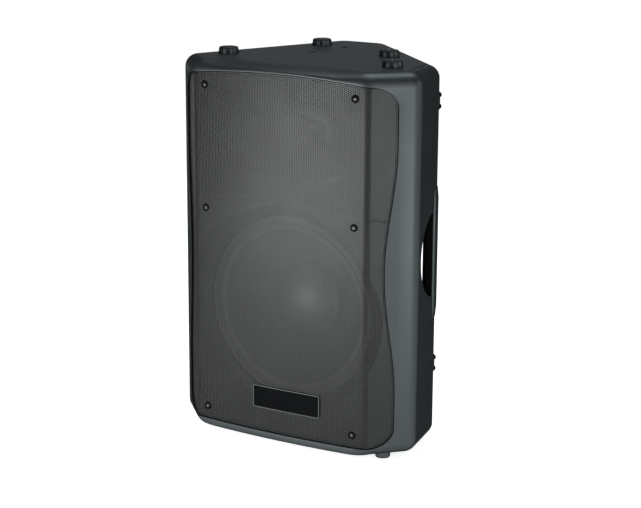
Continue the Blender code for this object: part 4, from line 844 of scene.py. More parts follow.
def perforated(first_row, rows):
    """A band of the punched sheet: the lattice trimmed to the outline, bent and made solid."""
    s = sizes()
    shape = from_mesh(punched_cells(GRILLE_COLUMNS, rows, first_row * s.pitch))
    flat = np.array([corner.co[:2] for corner in shape.verts])
    middle = flat.reshape(-1, 6 + HOLE_SIDES, 2).mean(axis=1)
    x = on_sheet(middle[:, 0], s.grille_set)[0][:, 0]
    keep = inside_grille(x, middle[:, 1], s.edge_gap + HOLE_MARGIN) & clear_of_screws(x, middle[:, 1])
    keep &= np.abs(middle[:, 0]) < sheet_line(s.grille_set)[0][-1] - s.pitch
    corners = list(shape.verts)
    waste = [corners[i] for i in np.flatnonzero(~np.repeat(keep, 6 + HOLE_SIDES))]
    bmesh.ops.delete(shape, geom=waste, context="VERTS")
    bmesh.ops.remove_doubles(shape, verts=shape.verts, dist=s.pitch * 0.02)
    flat = np.array([corner.co[:2] for corner in shape.verts])
    for corner, (x, y), z in zip(shape.verts, on_sheet(flat[:, 0], s.grille_set)[0], flat[:, 1]):
        corner.co = (x, y, z)
    bmesh.ops.recalc_face_normals(shape, faces=shape.faces)
    if sum(face.normal.y for face in shape.faces) > 0:
        bmesh.ops.reverse_faces(shape, faces=shape.faces)
    bmesh.ops.solidify(shape, geom=shape.faces, thickness=s.sheet)
    return to_mesh(shape)


SCREW_X = 0.124
SCREW_HEIGHTS = (0.0406, 0.3433, 0.523)
SCREW_CLEARANCE = 0.0052
SCREW_LAND_R = 0.0056


def clear_of_screws(x, z):
    """Whether points of the front view keep clear of the grille's screws."""
    good = np.ones(len(x), bool)
    for level in SCREW_HEIGHTS:
        good &= np.hypot(np.abs(x) - SCREW_X, z - level) > SCREW_CLEARANCE
    return good


def screw_rods(radius, steps=32):
    """Bars through the front at the six screws of the grille."""
    spots = [(x, z) for x in (-SCREW_X, SCREW_X) for z in SCREW_HEIGHTS]
    ends = (front_y() - 0.01, front_y() + 0.03)
    return merged([level_rod(radius, spot, *ends, steps=steps) for spot in spots])


BORDER_FOLD = ((0.0014, 0.00035), (0.0006, 0.00035), (0.0, 0.0009), (0.0, 0.0038), (0.0008, 0.0038),
               (0.0008, 0.0013), (0.0014, 0.0013))


def grille_border():
    """The sheet's plain edge, folded back into the recess."""
    s = sizes()
    run, xs, _ = sheet_line(s.grille_set)
    rings = []
    for reach, deep in BORDER_FOLD:
        outline = np.array(grille_outline(s.edge_gap + reach))
        along = np.interp(np.abs(outline[:, 0]), xs, run) * np.sign(outline[:, 0])
        flat, inward = on_sheet(along, s.grille_set)
        rings.append(np.column_stack([flat + inward * deep, outline[:, 1]]).tolist())
    return loft(rings, closed=True)


BADGE_MIDDLE = (0.017, 0.0745)
BADGE_WIDE = 0.112
BADGE_TALL = 0.034


def badge_block(smaller, radius, back):
    """A block through the front with the badge's outline, or one that is smaller all round."""
    outline = rectangle(BADGE_WIDE - smaller, BADGE_TALL - smaller, radius, BADGE_MIDDLE)
    return upright_prism(outline, -FAR, back)


class PA_OT_grille(bpy.types.Operator):
    """Build the punched grille in bands, its folded border and the bare badge"""
    bl_idname = "pa.grille"
    bl_label = "Grille"

    def execute(self, context):
        s, f = sizes(), finishes()
        piece("grille_border", grille_border(), f["grille"], stands_for=["grille"])
        rows = math.ceil(grille_top(0.0) / s.pitch / GRILLE_BANDS)
        for k in range(GRILLE_BANDS):
            piece(f"grille_band_{k + 1}", perforated(k * rows, rows), f["grille"], angle=20)
        lands = layer(screw_rods(SCREW_LAND_R, 48), s.grille_set, s.grille_set + s.sheet)
        piece("grille_screw_lands", lands, f["grille"])
        back = front_y() + 0.03
        plate = layer(badge_block(0.0, 0.003, back), 0.0004, 0.0022)
        piece("badge_face", plate, f["badge"], stands_for=["badge_plate"])
        line = boolean(badge_block(0.0002, 0.003, back), badge_block(0.0026, 0.002, FAR))
        piece("badge_line", layer(line, 0.0002, 0.0006), f["edge"])
        return {"FINISHED"}


# Speakers behind the grille

def woofer_place():
    """The woofer's frame on its mounting floor: z forwards along its axis."""
    s = sizes()
    floor = Matrix.Translation((0, front_y() + s.dish_floor, s.woofer_z))
    return floor @ Matrix.Rotation(math.pi / 2, 4, "X")


def sheet_profile(line, thickness):
    """The closed profile of a thin sheet under a line of (radius, height)."""
    return line + [(r, h - thickness) for r, h in reversed(line)]


CONE_OUTER = 0.1145
CONE_INNER = 0.0379
CONE_DEEP = 0.060
CONE_CURVE = 1.15
CONE_LIFT = 0.001
PAPER = 0.0012
DOME_R = 0.050
DOME_RISE = 0.020
DOME_LIFT = 0.0025
SURROUND_SECTORS = 24
SURROUND_SEAT = 0.0023
SURROUND_FLAT = (0.144, 0.1155)
ROLL = (0.1345, 0.1215)
ROLL_RISE = 0.005
DOPED_CLOTH = 0.001
SPIDER_SECTORS = 12
SPIDER_SEAT = -0.0679
SPIDER_FLAT = (0.095, 0.0379)
FOLDS = (0.079, 0.041)
FOLD_RISE = 0.0024
COTTON = 0.0008
GASKET = [(0.1535, 0.0075), (0.1535, 0.0053), (0.144, 0.0053), (0.144, 0.0026), (0.1355, 0.0026),
          (0.1355, 0.0065), (0.1365, 0.0075)]


def cone_height(radius):
    """Height of the cone's face at a radius, on the woofer's axis."""
    t = (CONE_OUTER - radius) / (CONE_OUTER - CONE_INNER)
    return -CONE_DEEP * t ** CONE_CURVE


def wavy_line(flat, span, seat, rise, waves, steps):
    """A line of (radius, height) from the outside in: flat at both ends, with waves between two radii."""
    outer, inner = span
    shares = [k / steps for k in range(steps + 1)]
    middle = [(outer + (inner - outer) * t, seat + rise * math.sin(2 * math.pi * waves * t)) for t in shares]
    return [(flat[0], seat), *middle, (flat[1], seat)]


def bending_ring(name, profile, finish, stands_for, sectors, span):
    """A cloth ring between basket and cone, made of sectors."""
    angle = 2 * math.pi / sectors
    for k in range(sectors):
        turn = woofer_place() @ Matrix.Rotation(angle * (k + 0.5), 4, "Z")
        sector = spun(profile, turn @ Matrix.Rotation(-angle / 2, 4, "Z"), SPIN_STEPS // sectors, angle)
        bend = [turn @ Vector((radius, 0, 0)) for radius in span]
        piece(f"{name}_{k + 1}", sector, finish, "cone", stands_for, bend=bend)


class PA_OT_woofer(bpy.types.Operator):
    """Build the woofer's moving cone and dust cap, its rolled surround, its spider and its mounting ring"""
    bl_idname = "pa.woofer"
    bl_label = "Woofer"

    def execute(self, context):
        f, place = finishes(), woofer_place()
        radii = np.linspace(CONE_OUTER, CONE_INNER, 24).tolist()
        line = [(ROLL[1], CONE_LIFT)] + [(r, cone_height(r) + CONE_LIFT) for r in radii]
        cone = spun(sheet_profile(line, PAPER), place)
        piece("cone", cone, f["cone"], "cone", ["woofer_cone"])
        base = cone_height(DOME_R) + DOME_LIFT
        line = [(DOME_R * k / 16, base + DOME_RISE * (1 - (k / 16) ** 2)) for k in range(17)]
        dome = spun(sheet_profile(line, PAPER), place)
        piece("dust_dome", dome, f["dome"], "cone", ["dust_cap"])
        line = wavy_line(SURROUND_FLAT, ROLL, SURROUND_SEAT, ROLL_RISE, 1, 32)
        bending_ring("rolled_surround", sheet_profile(line, DOPED_CLOTH), f["surround"],
                     ["woofer_surround"], SURROUND_SECTORS, ROLL)
        line = wavy_line(SPIDER_FLAT, FOLDS, SPIDER_SEAT, FOLD_RISE, 4, 48)
        # Cotton stiffened with phenolic resin: a dull brown weave
        cotton = material("phenolic_cotton", linear("#9a7438"), 0.8, grain=0.6, threads="XZ", thread_mm=0.7)
        bending_ring("folded_spider", sheet_profile(line, COTTON), cotton, ["woofer_spider"],
                     SPIDER_SECTORS, FOLDS)
        piece("gasket_ring", spun(GASKET, place), f["pad"], stands_for=["woofer_gasket"])
        return {"FINISHED"}


MOUTH_HALF_W = 0.118
MOUTH_HALF_H = 0.066
MOUTH_POWER = 5
THROAT_R = 0.0127
HORN_LENGTH = 0.118
FLARE_CURVE = 1.25
HORN_WALL = 0.0035
HORN_SHADE_DEPTH = 0.018
FLANGE_FACE = 0.0045
FLANGE_BACK = 0.0075
FLANGE_HALF = 0.131
FLANGE_TOP_GAP = 0.010
FLANGE_FOOT_Z = 0.3745
FLANGE_FOOT_R = 0.615
FLANGE_SCREW_R = 0.0068
PANEL_GAP_HALF = 0.166


def mouth(grow, power=MOUTH_POWER, half_w=MOUTH_HALF_W, half_h=MOUTH_HALF_H, count=96):
    """A superellipse round the horn's axis, in front view."""
    points = []
    for k in range(count):
        c, t = math.cos(2 * math.pi * k / count), math.sin(2 * math.pi * k / count)
        x = math.copysign(abs(c) ** (2 / power), c) * (half_w + grow)
        z = math.copysign(abs(t) ** (2 / power), t) * (half_h + grow)
        points.append((x, sizes().horn_z + z))
    return points


def flare(grow, front, back):
    """The horn's inside, from a nearly square mouth to a round throat, or its outside by a wall more."""
    rings = []
    for y in [front] + [HORN_LENGTH * k / 24 for k in range(24)] + [back]:
        t = min(max(y / HORN_LENGTH, 0.0), 1.0)
        share = (1 - t) ** FLARE_CURVE
        half_w = THROAT_R + (MOUTH_HALF_W - THROAT_R) * share
        half_h = THROAT_R + (MOUTH_HALF_H - THROAT_R) * share
        ring = mouth(grow, 2 + (MOUTH_POWER - 2) * (1 - t), half_w, half_h)
        rings.append([(x, y + front_y(), z) for x, z in ring])
    return loft(rings)


def horn_foot(x):
    """Height of the arched foot of the horn's flange."""
    return FLANGE_FOOT_Z - FLANGE_FOOT_R + math.sqrt(FLANGE_FOOT_R ** 2 - x ** 2)


def horn_panel():
    """Front view of the horn's flange, with its arched foot."""
    across = [FLANGE_HALF * k / 16 for k in range(-16, 17)]
    top = [(x, grille_top(x) - FLANGE_TOP_GAP) for x in reversed(across)]
    return [(x, horn_foot(x)) for x in across] + top


def panel_gap():
    """Front view of the dark gap along that foot, which runs on across both wings."""
    across = [PANEL_GAP_HALF * k / 24 for k in range(-24, 25)]
    low = [(x, horn_foot(x) - sizes().panel_gap) for x in across]
    return low + [(x, horn_foot(x)) for x in reversed(across)]


class PA_OT_horn(bpy.types.Operator):
    """Build the treble horn with its flange"""
    bl_idname = "pa.horn"
    bl_label = "Horn"

    def execute(self, context):
        f = finishes()
        horn = boolean(flare(HORN_WALL, -0.02, HORN_LENGTH), plan_prism(FLANGE_FACE), "INTERSECT")
        flange = layer(upright_prism(horn_panel(), -FAR, front_y() + 0.05), FLANGE_FACE, FLANGE_BACK)
        horn = boolean(boolean(horn, flange, "UNION"), flare(0.0, -0.03, 0.14))
        horn = boolean(horn, screw_rods(FLANGE_SCREW_R))
        item = piece("horn", horn, f["horn"], stands_for=["horn_flare"])
        # Painted shade: faces deeper in the flare than HORN_SHADE_DEPTH take the near-black shade colour
        second_finish(item, f["shade"], lambda point: point.y > front_y() + HORN_SHADE_DEPTH)
        return {"FINISHED"}


# Outside fittings

POCKET_SEMI_AXES = (0.044, 0.1055, 0.083)
POCKET_POINT = (0.1408, 0.1678)
POCKET_TURN = math.radians(31)
CUP_WALL = 0.004
CUP_SET = 0.0032
CUP_ROOM = 0.0042
CUP_ROOM_SET = 0.0030
GRIP_PROUD = 0.002
GRIP_FRONT = (0.018, 0.0160)
GRIP_BACK = (0.030, 0.0126)
GRIP_INNER_BEND = 0.006
GRIP_EDGE_BEND = 0.003
GRIP_OUTER_BEND = 0.016
GRIP_ARC_STEP = math.radians(6)
GRIP_HALF = 0.095
GRIP_FADE = 0.016
GRIP_FADE_IN = 0.0014
GRIP_SKIN = 0.004
RIB_R = 0.0011
RIB_PITCH = 0.0039
RIBS_EACH_WAY = 18
RIB_SET = 0.0001
RIB_ENDS = (0.0005, 0.003)


def pocket_frame():
    """The frame of the handle's hollow: its long axis points out past the grip."""
    x, y = POCKET_POINT
    middle = Matrix.Translation((x, y + front_y(), sizes().handle_z))
    return middle @ Matrix.Rotation(POCKET_TURN, 4, "Z")


def handle_pocket(wall):
    """The hollow for the hand, open to the side and to the monitor face behind the grip."""
    return ellipsoid([axis + wall for axis in POCKET_SEMI_AXES], pocket_frame())


def grip_section(proud):
    """The grip from above: it wraps the edge between the side and the monitor face."""
    s = sizes()
    edge = Vector((s.side_end_x, s.side_end_y + front_y()))
    to_front = (Vector((s.half_width, s.wing_depth + front_y())) - edge).normalized()
    to_back = Vector((-1, 1)).normalized()
    side_in, back_in = Vector((to_front.y, -to_front.x)), Vector((-to_back.y, to_back.x))
    half = 0.5 * to_front.angle(-to_back)
    outer = edge - (side_in + back_in).normalized() * proud / math.cos(half)
    front_edge, back_edge = outer + to_front * GRIP_FRONT[0], outer + to_back * GRIP_BACK[0]
    inner_front, inner_back = front_edge + side_in * GRIP_FRONT[1], back_edge + back_in * GRIP_BACK[1]
    return [(*inner_front, GRIP_INNER_BEND), (*front_edge, GRIP_EDGE_BEND), (*outer, GRIP_OUTER_BEND),
            (*back_edge, GRIP_EDGE_BEND), (*inner_back, GRIP_INNER_BEND)]


class PA_OT_handle(bpy.types.Operator):
    """Build the handle's cup and its grip, ribbed on the inside for the fingers"""
    bl_idname = "pa.handle"
    bl_label = "Handle"

    def execute(self, context):
        s, f = sizes(), finishes()
        cup = boolean(handle_pocket(CUP_WALL), plan_prism(CUP_SET), "INTERSECT")
        cup = boolean(cup, handle_pocket(0.0))
        # Painted shade: the whole cup takes the near-black shade colour
        piece("handle_cup_shell", cup, f["shade"], stands_for=["handle_cup"])
        section = grip_section(GRIP_PROUD)
        full = filleted(section, GRIP_ARC_STEP)
        faded = filleted(inset(section, GRIP_FADE_IN), GRIP_ARC_STEP)
        even = GRIP_HALF - GRIP_FADE
        rings = [(faded, -GRIP_HALF), (full, -even), (full, even), (faded, GRIP_HALF)]
        grip = loft([[(x, y, s.handle_z + dz) for x, y in outline] for outline, dz in rings])
        body = prism(plan(-0.0003, s.shell_bend), 0.0, 0.6)
        grip = boolean(grip, boolean(body, handle_pocket(-0.0012)))
        inner_front, front_edge, outer, back_edge, inner_back = [Vector(corner[:2]) for corner in section]
        inner = inner_back - inner_front
        aim = turned_frame(inner.normalized(), (*inner_front, s.handle_z))
        first, last = RIB_ENDS[0], inner.length - RIB_ENDS[1]
        levels = [RIB_PITCH * k for k in range(-RIBS_EACH_WAY, RIBS_EACH_WAY + 1)]
        ribs = [rod(RIB_R, (first, RIB_SET, z), (last, RIB_SET, z), aim, 12) for z in levels]
        grip = boolean(grip, merged(ribs), "UNION")
        item = piece("grip", grip, f["shell"], stands_for=["handle_grip"])
        sides = [(front_edge - outer).normalized(), (back_edge - outer).normalized()]

        def under_skin(point):
            return min(abs(side.cross(point.xy - outer)) for side in sides) > GRIP_SKIN

        # Painted shade: faces of the grip deeper than GRIP_SKIN under its outer faces take the near-black
        # shade colour
        second_finish(item, f["shade"], under_skin)
        return {"FINISHED"}


REAR_FEET = {"rear_left": (-0.072, 0.246), "rear_right": (0.0785, 0.185)}
TOP_FEET = {"front_left": (-0.137, 0.089), "front_right": (0.137, 0.089), **REAR_FEET}
BOTTOM_FEET = {"front_left": (-0.150, 0.053), "front_right": (0.150, 0.053), **REAR_FEET}
BOTTOM_FOOT_SHARE = 0.76
FOOT = [(0.0, 0.0066), (0.0046, 0.0066), (0.0052, 0.0072), (0.0055, 0.0094), (0.0061, 0.010),
        (0.0118, 0.010), (0.0131, 0.0096), (0.0139, 0.0086), (0.0143, 0.0068), (0.0150, 0.0016),
        (0.0150, 0.0003), (0.0, 0.0003)]
FOOT_SCREW = [(0.0, 0.0082), (0.0022, 0.0080), (0.0036, 0.0072), (0.0038, 0.0066), (0.0, 0.0066)]
PAD_RUNS = {"front": 0.027, "rear": 0.215}
PAD_LEVELS = {"low": 0.1175, "high": 0.5055}
PAD_HALF = (0.017, 0.013)
PAD_RIB_Z = 0.00825
PAD_RIB_HALF = 0.003


class PA_OT_feet(bpy.types.Operator):
    """Build the rubber feet, with a screw in each, and the ribbed monitor pads"""
    bl_idname = "pa.feet"
    bl_label = "Feet and pads"

    def execute(self, context):
        s, f = sizes(), finishes()
        self.feet(f, "top", TOP_FEET, s.foot + s.height, 0.0, 1.0)
        self.feet(f, "bottom", BOTTOM_FEET, s.foot, math.pi, BOTTOM_FOOT_SHARE)
        for end, run in PAD_RUNS.items():
            for level, z in PAD_LEVELS.items():
                self.pad(f, f"{end}_{level}", run, z)
        return {"FINISHED"}

    def feet(self, f, group, spots, level, tip, share):
        outline = [(r * share, h) for r, h in FOOT]
        for name, (x, y) in spots.items():
            place = Matrix.Translation((x, y + front_y(), level)) @ Matrix.Rotation(tip, 4, "X")
            piece(f"foot_{group}_{name}", spun(outline, place, 64), f["rubber"],
                  stands_for=[f"{group}_foot_{name}"])
            piece(f"foot_screw_{group}_{name}", spun(FOOT_SCREW, place, 32), f["screw"])

    def pad(self, f, name, run, z):
        s = sizes()
        place = Matrix.Translation((s.side_end_x, s.side_end_y + front_y(), z))
        place = place @ Matrix.Rotation(-math.pi / 4, 4, "Z") @ Matrix.Translation((-run, 0, 0))
        wide, tall = PAD_HALF
        pad = box((-wide, 0.0003, -tall), (wide, 0.004, tall), place, 0.0012)
        for dz in (-PAD_RIB_Z, PAD_RIB_Z):
            rib = box((-wide, 0.002, dz - PAD_RIB_HALF), (wide, 0.006, dz + PAD_RIB_HALF), place, 0.0014, 3)
            pad = boolean(pad, rib, "UNION")
        piece(f"pad_{name}", pad, f["pad"], stands_for=[f"monitor_pad_{name}"])


def pan_screw(radius, height):
    """A pan-head screw's head with its cross recess, standing on Z = 0."""
    dome = [(radius * math.sin(a), height * math.cos(a)) for a in (math.pi / 2 * k / 6 for k in range(7))]
    head = spun([(0.0, 0.0)] + dome[::-1], steps=40)
    long, short, deep = radius * 0.55, radius * 0.15, height * 0.4
    for x, y in ((long, short), (short, long)):
        head = boolean(head, box((-x, -y, height - deep), (x, y, height * 2), Matrix.Rotation(0.4, 4, "Z")))
    return head


CUP_WASHER = [(0.0031, 0.0004), (0.0044, 0.0020), (0.0050, 0.0019), (0.0056, 0.0008), (0.0057, 0.0001),
              (0.0028, 0.0001)]
FLY_BUSH = [(0.0034, -0.0008), (0.0040, -0.0003), (0.0062, -0.0003), (0.0062, -0.0157), (0.0, -0.0157),
            (0.0, -0.0125), (0.0034, -0.0125)]


class PA_OT_fasteners(bpy.types.Operator):
    """Build the grille's screws with their cup washers, and the flying inserts"""
    bl_idname = "pa.fasteners"
    bl_label = "Fasteners"

    def execute(self, context):
        s, f = sizes(), finishes()
        head = placed(pan_screw(0.0030, 0.0018), Matrix.Translation((0, 0, 0.0002)))
        for level, z in zip(("low", "middle", "high"), SCREW_HEIGHTS):
            for side, x in (("left", -SCREW_X), ("right", SCREW_X)):
                slope = math.atan(2 * s.crown * x / s.crease_x ** 2)
                place = Matrix.Translation((x, crown_y(x) + s.grille_set + front_y(), z))
                place = place @ Matrix.Rotation(slope, 4, "Z") @ Matrix.Rotation(math.pi / 2, 4, "X")
                # Each cross stands at an angle of its own
                turn = Matrix.Rotation(7 * z + 11 * x, 4, "Z")
                piece(f"screw_{level}_{side}", placed(head, place @ turn), f["head"],
                      stands_for=[f"grille_screw_{level}_{side}"])
                piece(f"washer_{level}_{side}", spun(CUP_WASHER, place, 40), f["screw"])
        for name, (x, y) in zip(("front", "rear"), FLY_POINTS):
            place = Matrix.Translation((x, y + front_y(), s.foot + s.height))
            piece(f"insert_{name}", spun(FLY_BUSH, place, 40), f["screw"],
                  stands_for=[f"fly_insert_{name}"])
        return {"FINISHED"}


# Amplifier module

AMP_RUN = 0.150
AMP_Z = 0.285
PANEL_FACE = -0.0047
PANEL_BACK = -0.0077
PANEL_OUTLINE = (0.170, 0.330, 0.006)
PANEL_SCREW_X = 0.079
PANEL_SCREW_HEIGHTS = (-0.159, -0.055, 0.055, 0.159)
THROUGH = (-0.05, 0.05)
KNOBS = {"mic_level": -0.054, "line_level": -0.018, "bass": 0.018, "treble": 0.054}
KNOB_Z = 0.128
KNOB = [(0.0, 0.014), (0.0058, 0.014), (0.0066, 0.0134), (0.0074, 0.0032), (0.0082, 0.0026), (0.0085, 0.0020),
        (0.0085, 0.0005), (0.0030, 0.0005), (0.0030, -0.012), (0.0, -0.012)]
FLUTES = 16
FITTING_FACE = -0.0024
FITTING_BACK = -0.0044
SOCKET_Z = 0.076
COMBO = (-0.050, SOCKET_Z)
LINK = (0.0, SOCKET_Z)
COMBO_CORE = (-0.050, 0.0755)
SOCKET_RIM = [(0.0118, 0.0007), (0.0118, -0.0005), (0.0111, -0.0005), (0.0111, 0.0007)]
JACKS = ((0.041, SOCKET_Z), (0.055, SOCKET_Z))
JACK_SHELL = [(0.0042, 0.009), (0.0042, -0.009), (0.0, -0.009), (0.0, 0.0), (0.0033, 0.0), (0.0033, 0.009)]
JACK_CORE = [(0.0016, 0.0082), (0.0030, 0.0082), (0.0030, 0.0), (0.0016, 0.0)]
INLET = (-0.062, -0.095)
BLADES = ((-0.0035, 0.0), (0.0025, 0.007), (0.0025, -0.007))
SWITCH = (-0.062, -0.140)
ROCKER_HALF = 0.009
ROCKER_DIP = 0.0035
ROCKER_TILT = math.radians(10)
SINK_LEFT = -0.040
SINK_RIGHT = 0.076
SINK_STEP = 0.01136
SINK_FINS = 11
SINK_BASE = -0.0044
SINK_FLOOR = SINK_BASE + 0.004
SINK_TIP = SINK_BASE + 0.018
FIN = 0.0024
FIN_CHAMFER = 0.0004


def amp_place():
    """The left face's frame: x towards the rear, y outwards, z up."""
    s = sizes()
    along = Vector((s.rear_left_x + s.half_width, s.depth - s.wing_depth)).normalized()
    x, y = -s.half_width + along.x * AMP_RUN, s.wing_depth + along.y * AMP_RUN + front_y()
    return turned_frame(along, (x, y, AMP_Z))


def panel_seat(spot, level):
    """A frame on the amplifier panel at a spot (x, z): its z axis points out of the panel."""
    x, z = spot
    return amp_place() @ Matrix.Translation((x, level, z)) @ Matrix.Rotation(-math.pi / 2, 4, "X")


def panel_block(wide, tall, radius, spot, back, face):
    """A block with rounded corners at a spot of the amplifier panel, between two depths."""
    return upright_prism(rectangle(wide, tall, radius, spot), back, face, amp_place())


def panel_rod(radius, spot, back, face, steps=32):
    """A bar at a spot of the amplifier panel, between two depths."""
    return level_rod(radius, spot, back, face, amp_place(), steps)


def contacts(radius, spot, reach, back, face, steps):
    """Three bars round the middle of a socket."""
    turns = [math.radians(a) for a in (30, 150, 270)]
    around = [(spot[0] + reach * math.cos(a), spot[1] + reach * math.sin(a)) for a in turns]
    return merged([panel_rod(radius, point, back, face, steps) for point in around])


class PA_OT_amplifier(bpy.types.Operator):
    """Build the amplifier panel with its heat sink, knobs, sockets, inlet and switch"""
    bl_idname = "pa.amplifier"
    bl_label = "Amplifier"

    def execute(self, context):
        f = finishes()
        self.panel(f)
        self.heat_sink(f)
        self.knobs(f)
        self.combo_socket(f)
        self.link_socket(f)
        self.jacks(f)
        self.mains(f)
        return {"FINISHED"}

    def panel(self, f):
        sheet = panel_block(*PANEL_OUTLINE, (0.0, 0.0), PANEL_BACK, PANEL_FACE)
        holes = [panel_rod(0.0034, (x, KNOB_Z), *THROUGH) for x in KNOBS.values()]
        holes += [panel_rod(0.0129, spot, *THROUGH, 48) for spot in (COMBO, LINK)]
        holes += [panel_rod(0.0046, spot, *THROUGH) for spot in JACKS]
        holes += [panel_block(0.0197, 0.0277, 0.0, INLET, *THROUGH),
                  panel_block(0.0137, 0.0232, 0.0, SWITCH, *THROUGH)]
        sheet = boolean(sheet, merged(holes))
        sheet = boolean(sheet, box((-0.0536, -0.05, 0.0853), (-0.0464, 0.05, 0.0897), amp_place()))
        piece("panel", sheet, f["panel"], stands_for=["amp_panel"])
        head = pan_screw(0.0030, 0.0021)
        spots = [(x, z) for x in (-PANEL_SCREW_X, PANEL_SCREW_X) for z in PANEL_SCREW_HEIGHTS]
        for k, spot in enumerate(spots):
            place = panel_seat(spot, PANEL_FACE) @ Matrix.Rotation(0.7 * k, 4, "Z")
            piece(f"panel_screw_{k + 1}", placed(head, place), f["screw"])

    def heat_sink(self, f):
        comb = []
        for k in range(SINK_FINS):
            x = SINK_LEFT + k * SINK_STEP
            near = [(x, SINK_FLOOR), (x, SINK_TIP - FIN_CHAMFER), (x + FIN_CHAMFER, SINK_TIP)]
            comb += near + [(2 * x + FIN - across, out) for across, out in reversed(near)]
        outline = [(SINK_RIGHT, SINK_BASE), (SINK_LEFT, SINK_BASE)] + comb[1:-1]
        sink = prism(outline, -0.146, 0.026, amp_place())
        piece("heat_sink", sink, f["panel"], stands_for=["amp_heatsink"])

    def knobs(self, f):
        arms = [(math.cos(a), math.sin(a)) for a in (2 * math.pi * k / FLUTES for k in range(FLUTES))]
        for name, x in KNOBS.items():
            seat = panel_seat((x, KNOB_Z), PANEL_FACE)
            flutes = [rod(0.0010, (0.0080 * c, 0.0080 * s, 0.0034), (0.0073 * c, 0.0073 * s, 0.02), seat, 10)
                      for c, s in arms]
            knob = boolean(spun(KNOB, seat, 48), merged(flutes))
            piece(f"knob_{name}", knob, f["plastic"], name, [f"{name}_knob"])
            mark = box((-0.0006, -0.0060, 0.0138), (0.0006, -0.0016, 0.0144), seat, 0.0002, 1)
            piece(f"knob_mark_{name}", mark, f["mark"], name)

    def socket_body(self, spot):
        face = FITTING_FACE
        body = panel_block(0.026, 0.031, 0.003, spot, FITTING_BACK, face)
        body = boolean(body, panel_rod(0.0125, spot, face - 0.020, face - 0.001, 64), "UNION")
        body = boolean(body, panel_rod(0.0108, spot, face - 0.015, THROUGH[1], 64))
        return boolean(body, spun(SOCKET_RIM, panel_seat(spot, face), 64), "UNION")

    def combo_socket(self, f):
        face, x = FITTING_FACE, COMBO[0]
        place = amp_place()
        slot = box((x - 0.0033, face - 0.006, 0.0855), (x + 0.0033, THROUGH[1], 0.0896), place)
        body = boolean(self.socket_body(COMBO), slot)
        latch = box((x - 0.003, face - 0.004, 0.0858), (x + 0.003, face + 0.0012, 0.0893), place, 0.0005)
        piece("latch_tab", latch, f["steel"], "latch", ["combo_latch"])
        core = panel_rod(0.0088, COMBO_CORE, face - 0.016, face - 0.005, 48)
        core = boolean(core, panel_rod(0.0033, COMBO_CORE, face - 0.02, face, 32))
        core = boolean(core, contacts(0.0013, COMBO_CORE, 0.0064, face - 0.012, face, 16))
        piece("combo_core", core, f["plastic"])
        piece("combo_socket_body", body, f["plastic"], stands_for=["combo_socket"])

    def link_socket(self, f):
        pins = contacts(0.0012, LINK, 0.0055, FITTING_FACE - 0.016, FITTING_FACE - 0.003, 20)
        piece("link_pins", pins, f["steel"])
        body = self.socket_body(LINK)
        piece("link_socket_body", body, f["plastic"], stands_for=["link_socket"])

    def jacks(self, f):
        plate = panel_block(0.028, 0.014, 0.002, (0.048, SOCKET_Z), FITTING_BACK, FITTING_FACE)
        piece("jack_plate", plate, f["plastic"], stands_for=["line_jacks"])
        for k, spot in enumerate(JACKS):
            seat = panel_seat(spot, FITTING_FACE)
            piece(f"jack_shell_{k + 1}", spun(JACK_SHELL, seat, 40), f["steel"])
            piece(f"jack_core_{k + 1}", spun(JACK_CORE, seat, 32), f["pad"])

    def mains(self, f):
        face, place = FITTING_FACE, amp_place()
        inlet = panel_block(0.024, 0.031, 0.002, INLET, FITTING_BACK, face)
        box_behind = panel_block(0.019, 0.027, 0.0, INLET, face - 0.018, face - 0.001)
        inlet = boolean(inlet, box_behind, "UNION")
        inlet = boolean(inlet, panel_block(0.0155, 0.0235, 0.003, INLET, face - 0.015, THROUGH[1]))
        piece("inlet_body", inlet, f["plastic"], stands_for=["mains_inlet"])
        blades = []
        for dx, dz in BLADES:
            x, z = INLET[0] + dx, INLET[1] + dz
            low, high = (x - 0.002, face - 0.016, z - 0.001), (x + 0.002, face - 0.003, z + 0.001)
            blades.append(box(low, high, place, 0.0004))
        piece("inlet_blades", merged(blades), f["steel"])
        housing = panel_block(0.016, 0.026, 0.002, SWITCH, FITTING_BACK, face)
        box_behind = panel_block(0.013, 0.0225, 0.0, SWITCH, face - 0.012, face - 0.001)
        housing = boolean(housing, box_behind, "UNION")
        housing = boolean(housing, panel_block(0.0106, 0.0206, 0.0, SWITCH, *THROUGH))
        piece("switch_frame", housing, f["plastic"], stands_for=["switch_housing"])
        half, top = ROCKER_HALF, ROCKER_DIP + ROCKER_HALF * math.tan(ROCKER_TILT)
        turns = [math.pi * k / 16 for k in range(15, 0, -1)]
        belly = [(half * math.cos(a), -0.55 * half * math.sin(a)) for a in turns]
        outline = [(-half, top), (-half, 0.0), *belly, (half, 0.0), (half, top), (0.0, ROCKER_DIP)]
        swap = Matrix(((0, 0, 1, 0), (0, 1, 0, 0), (1, 0, 0, 0), (0, 0, 0, 1)))
        pivot = place @ Matrix.Translation((SWITCH[0], face - 0.004, SWITCH[1]))
        rocker = prism(outline, -0.005, 0.005, pivot @ Matrix.Rotation(ROCKER_TILT, 4, "X") @ swap)
        piece("rocker", rocker, f["plastic"], "rocker", ["power_rocker"])


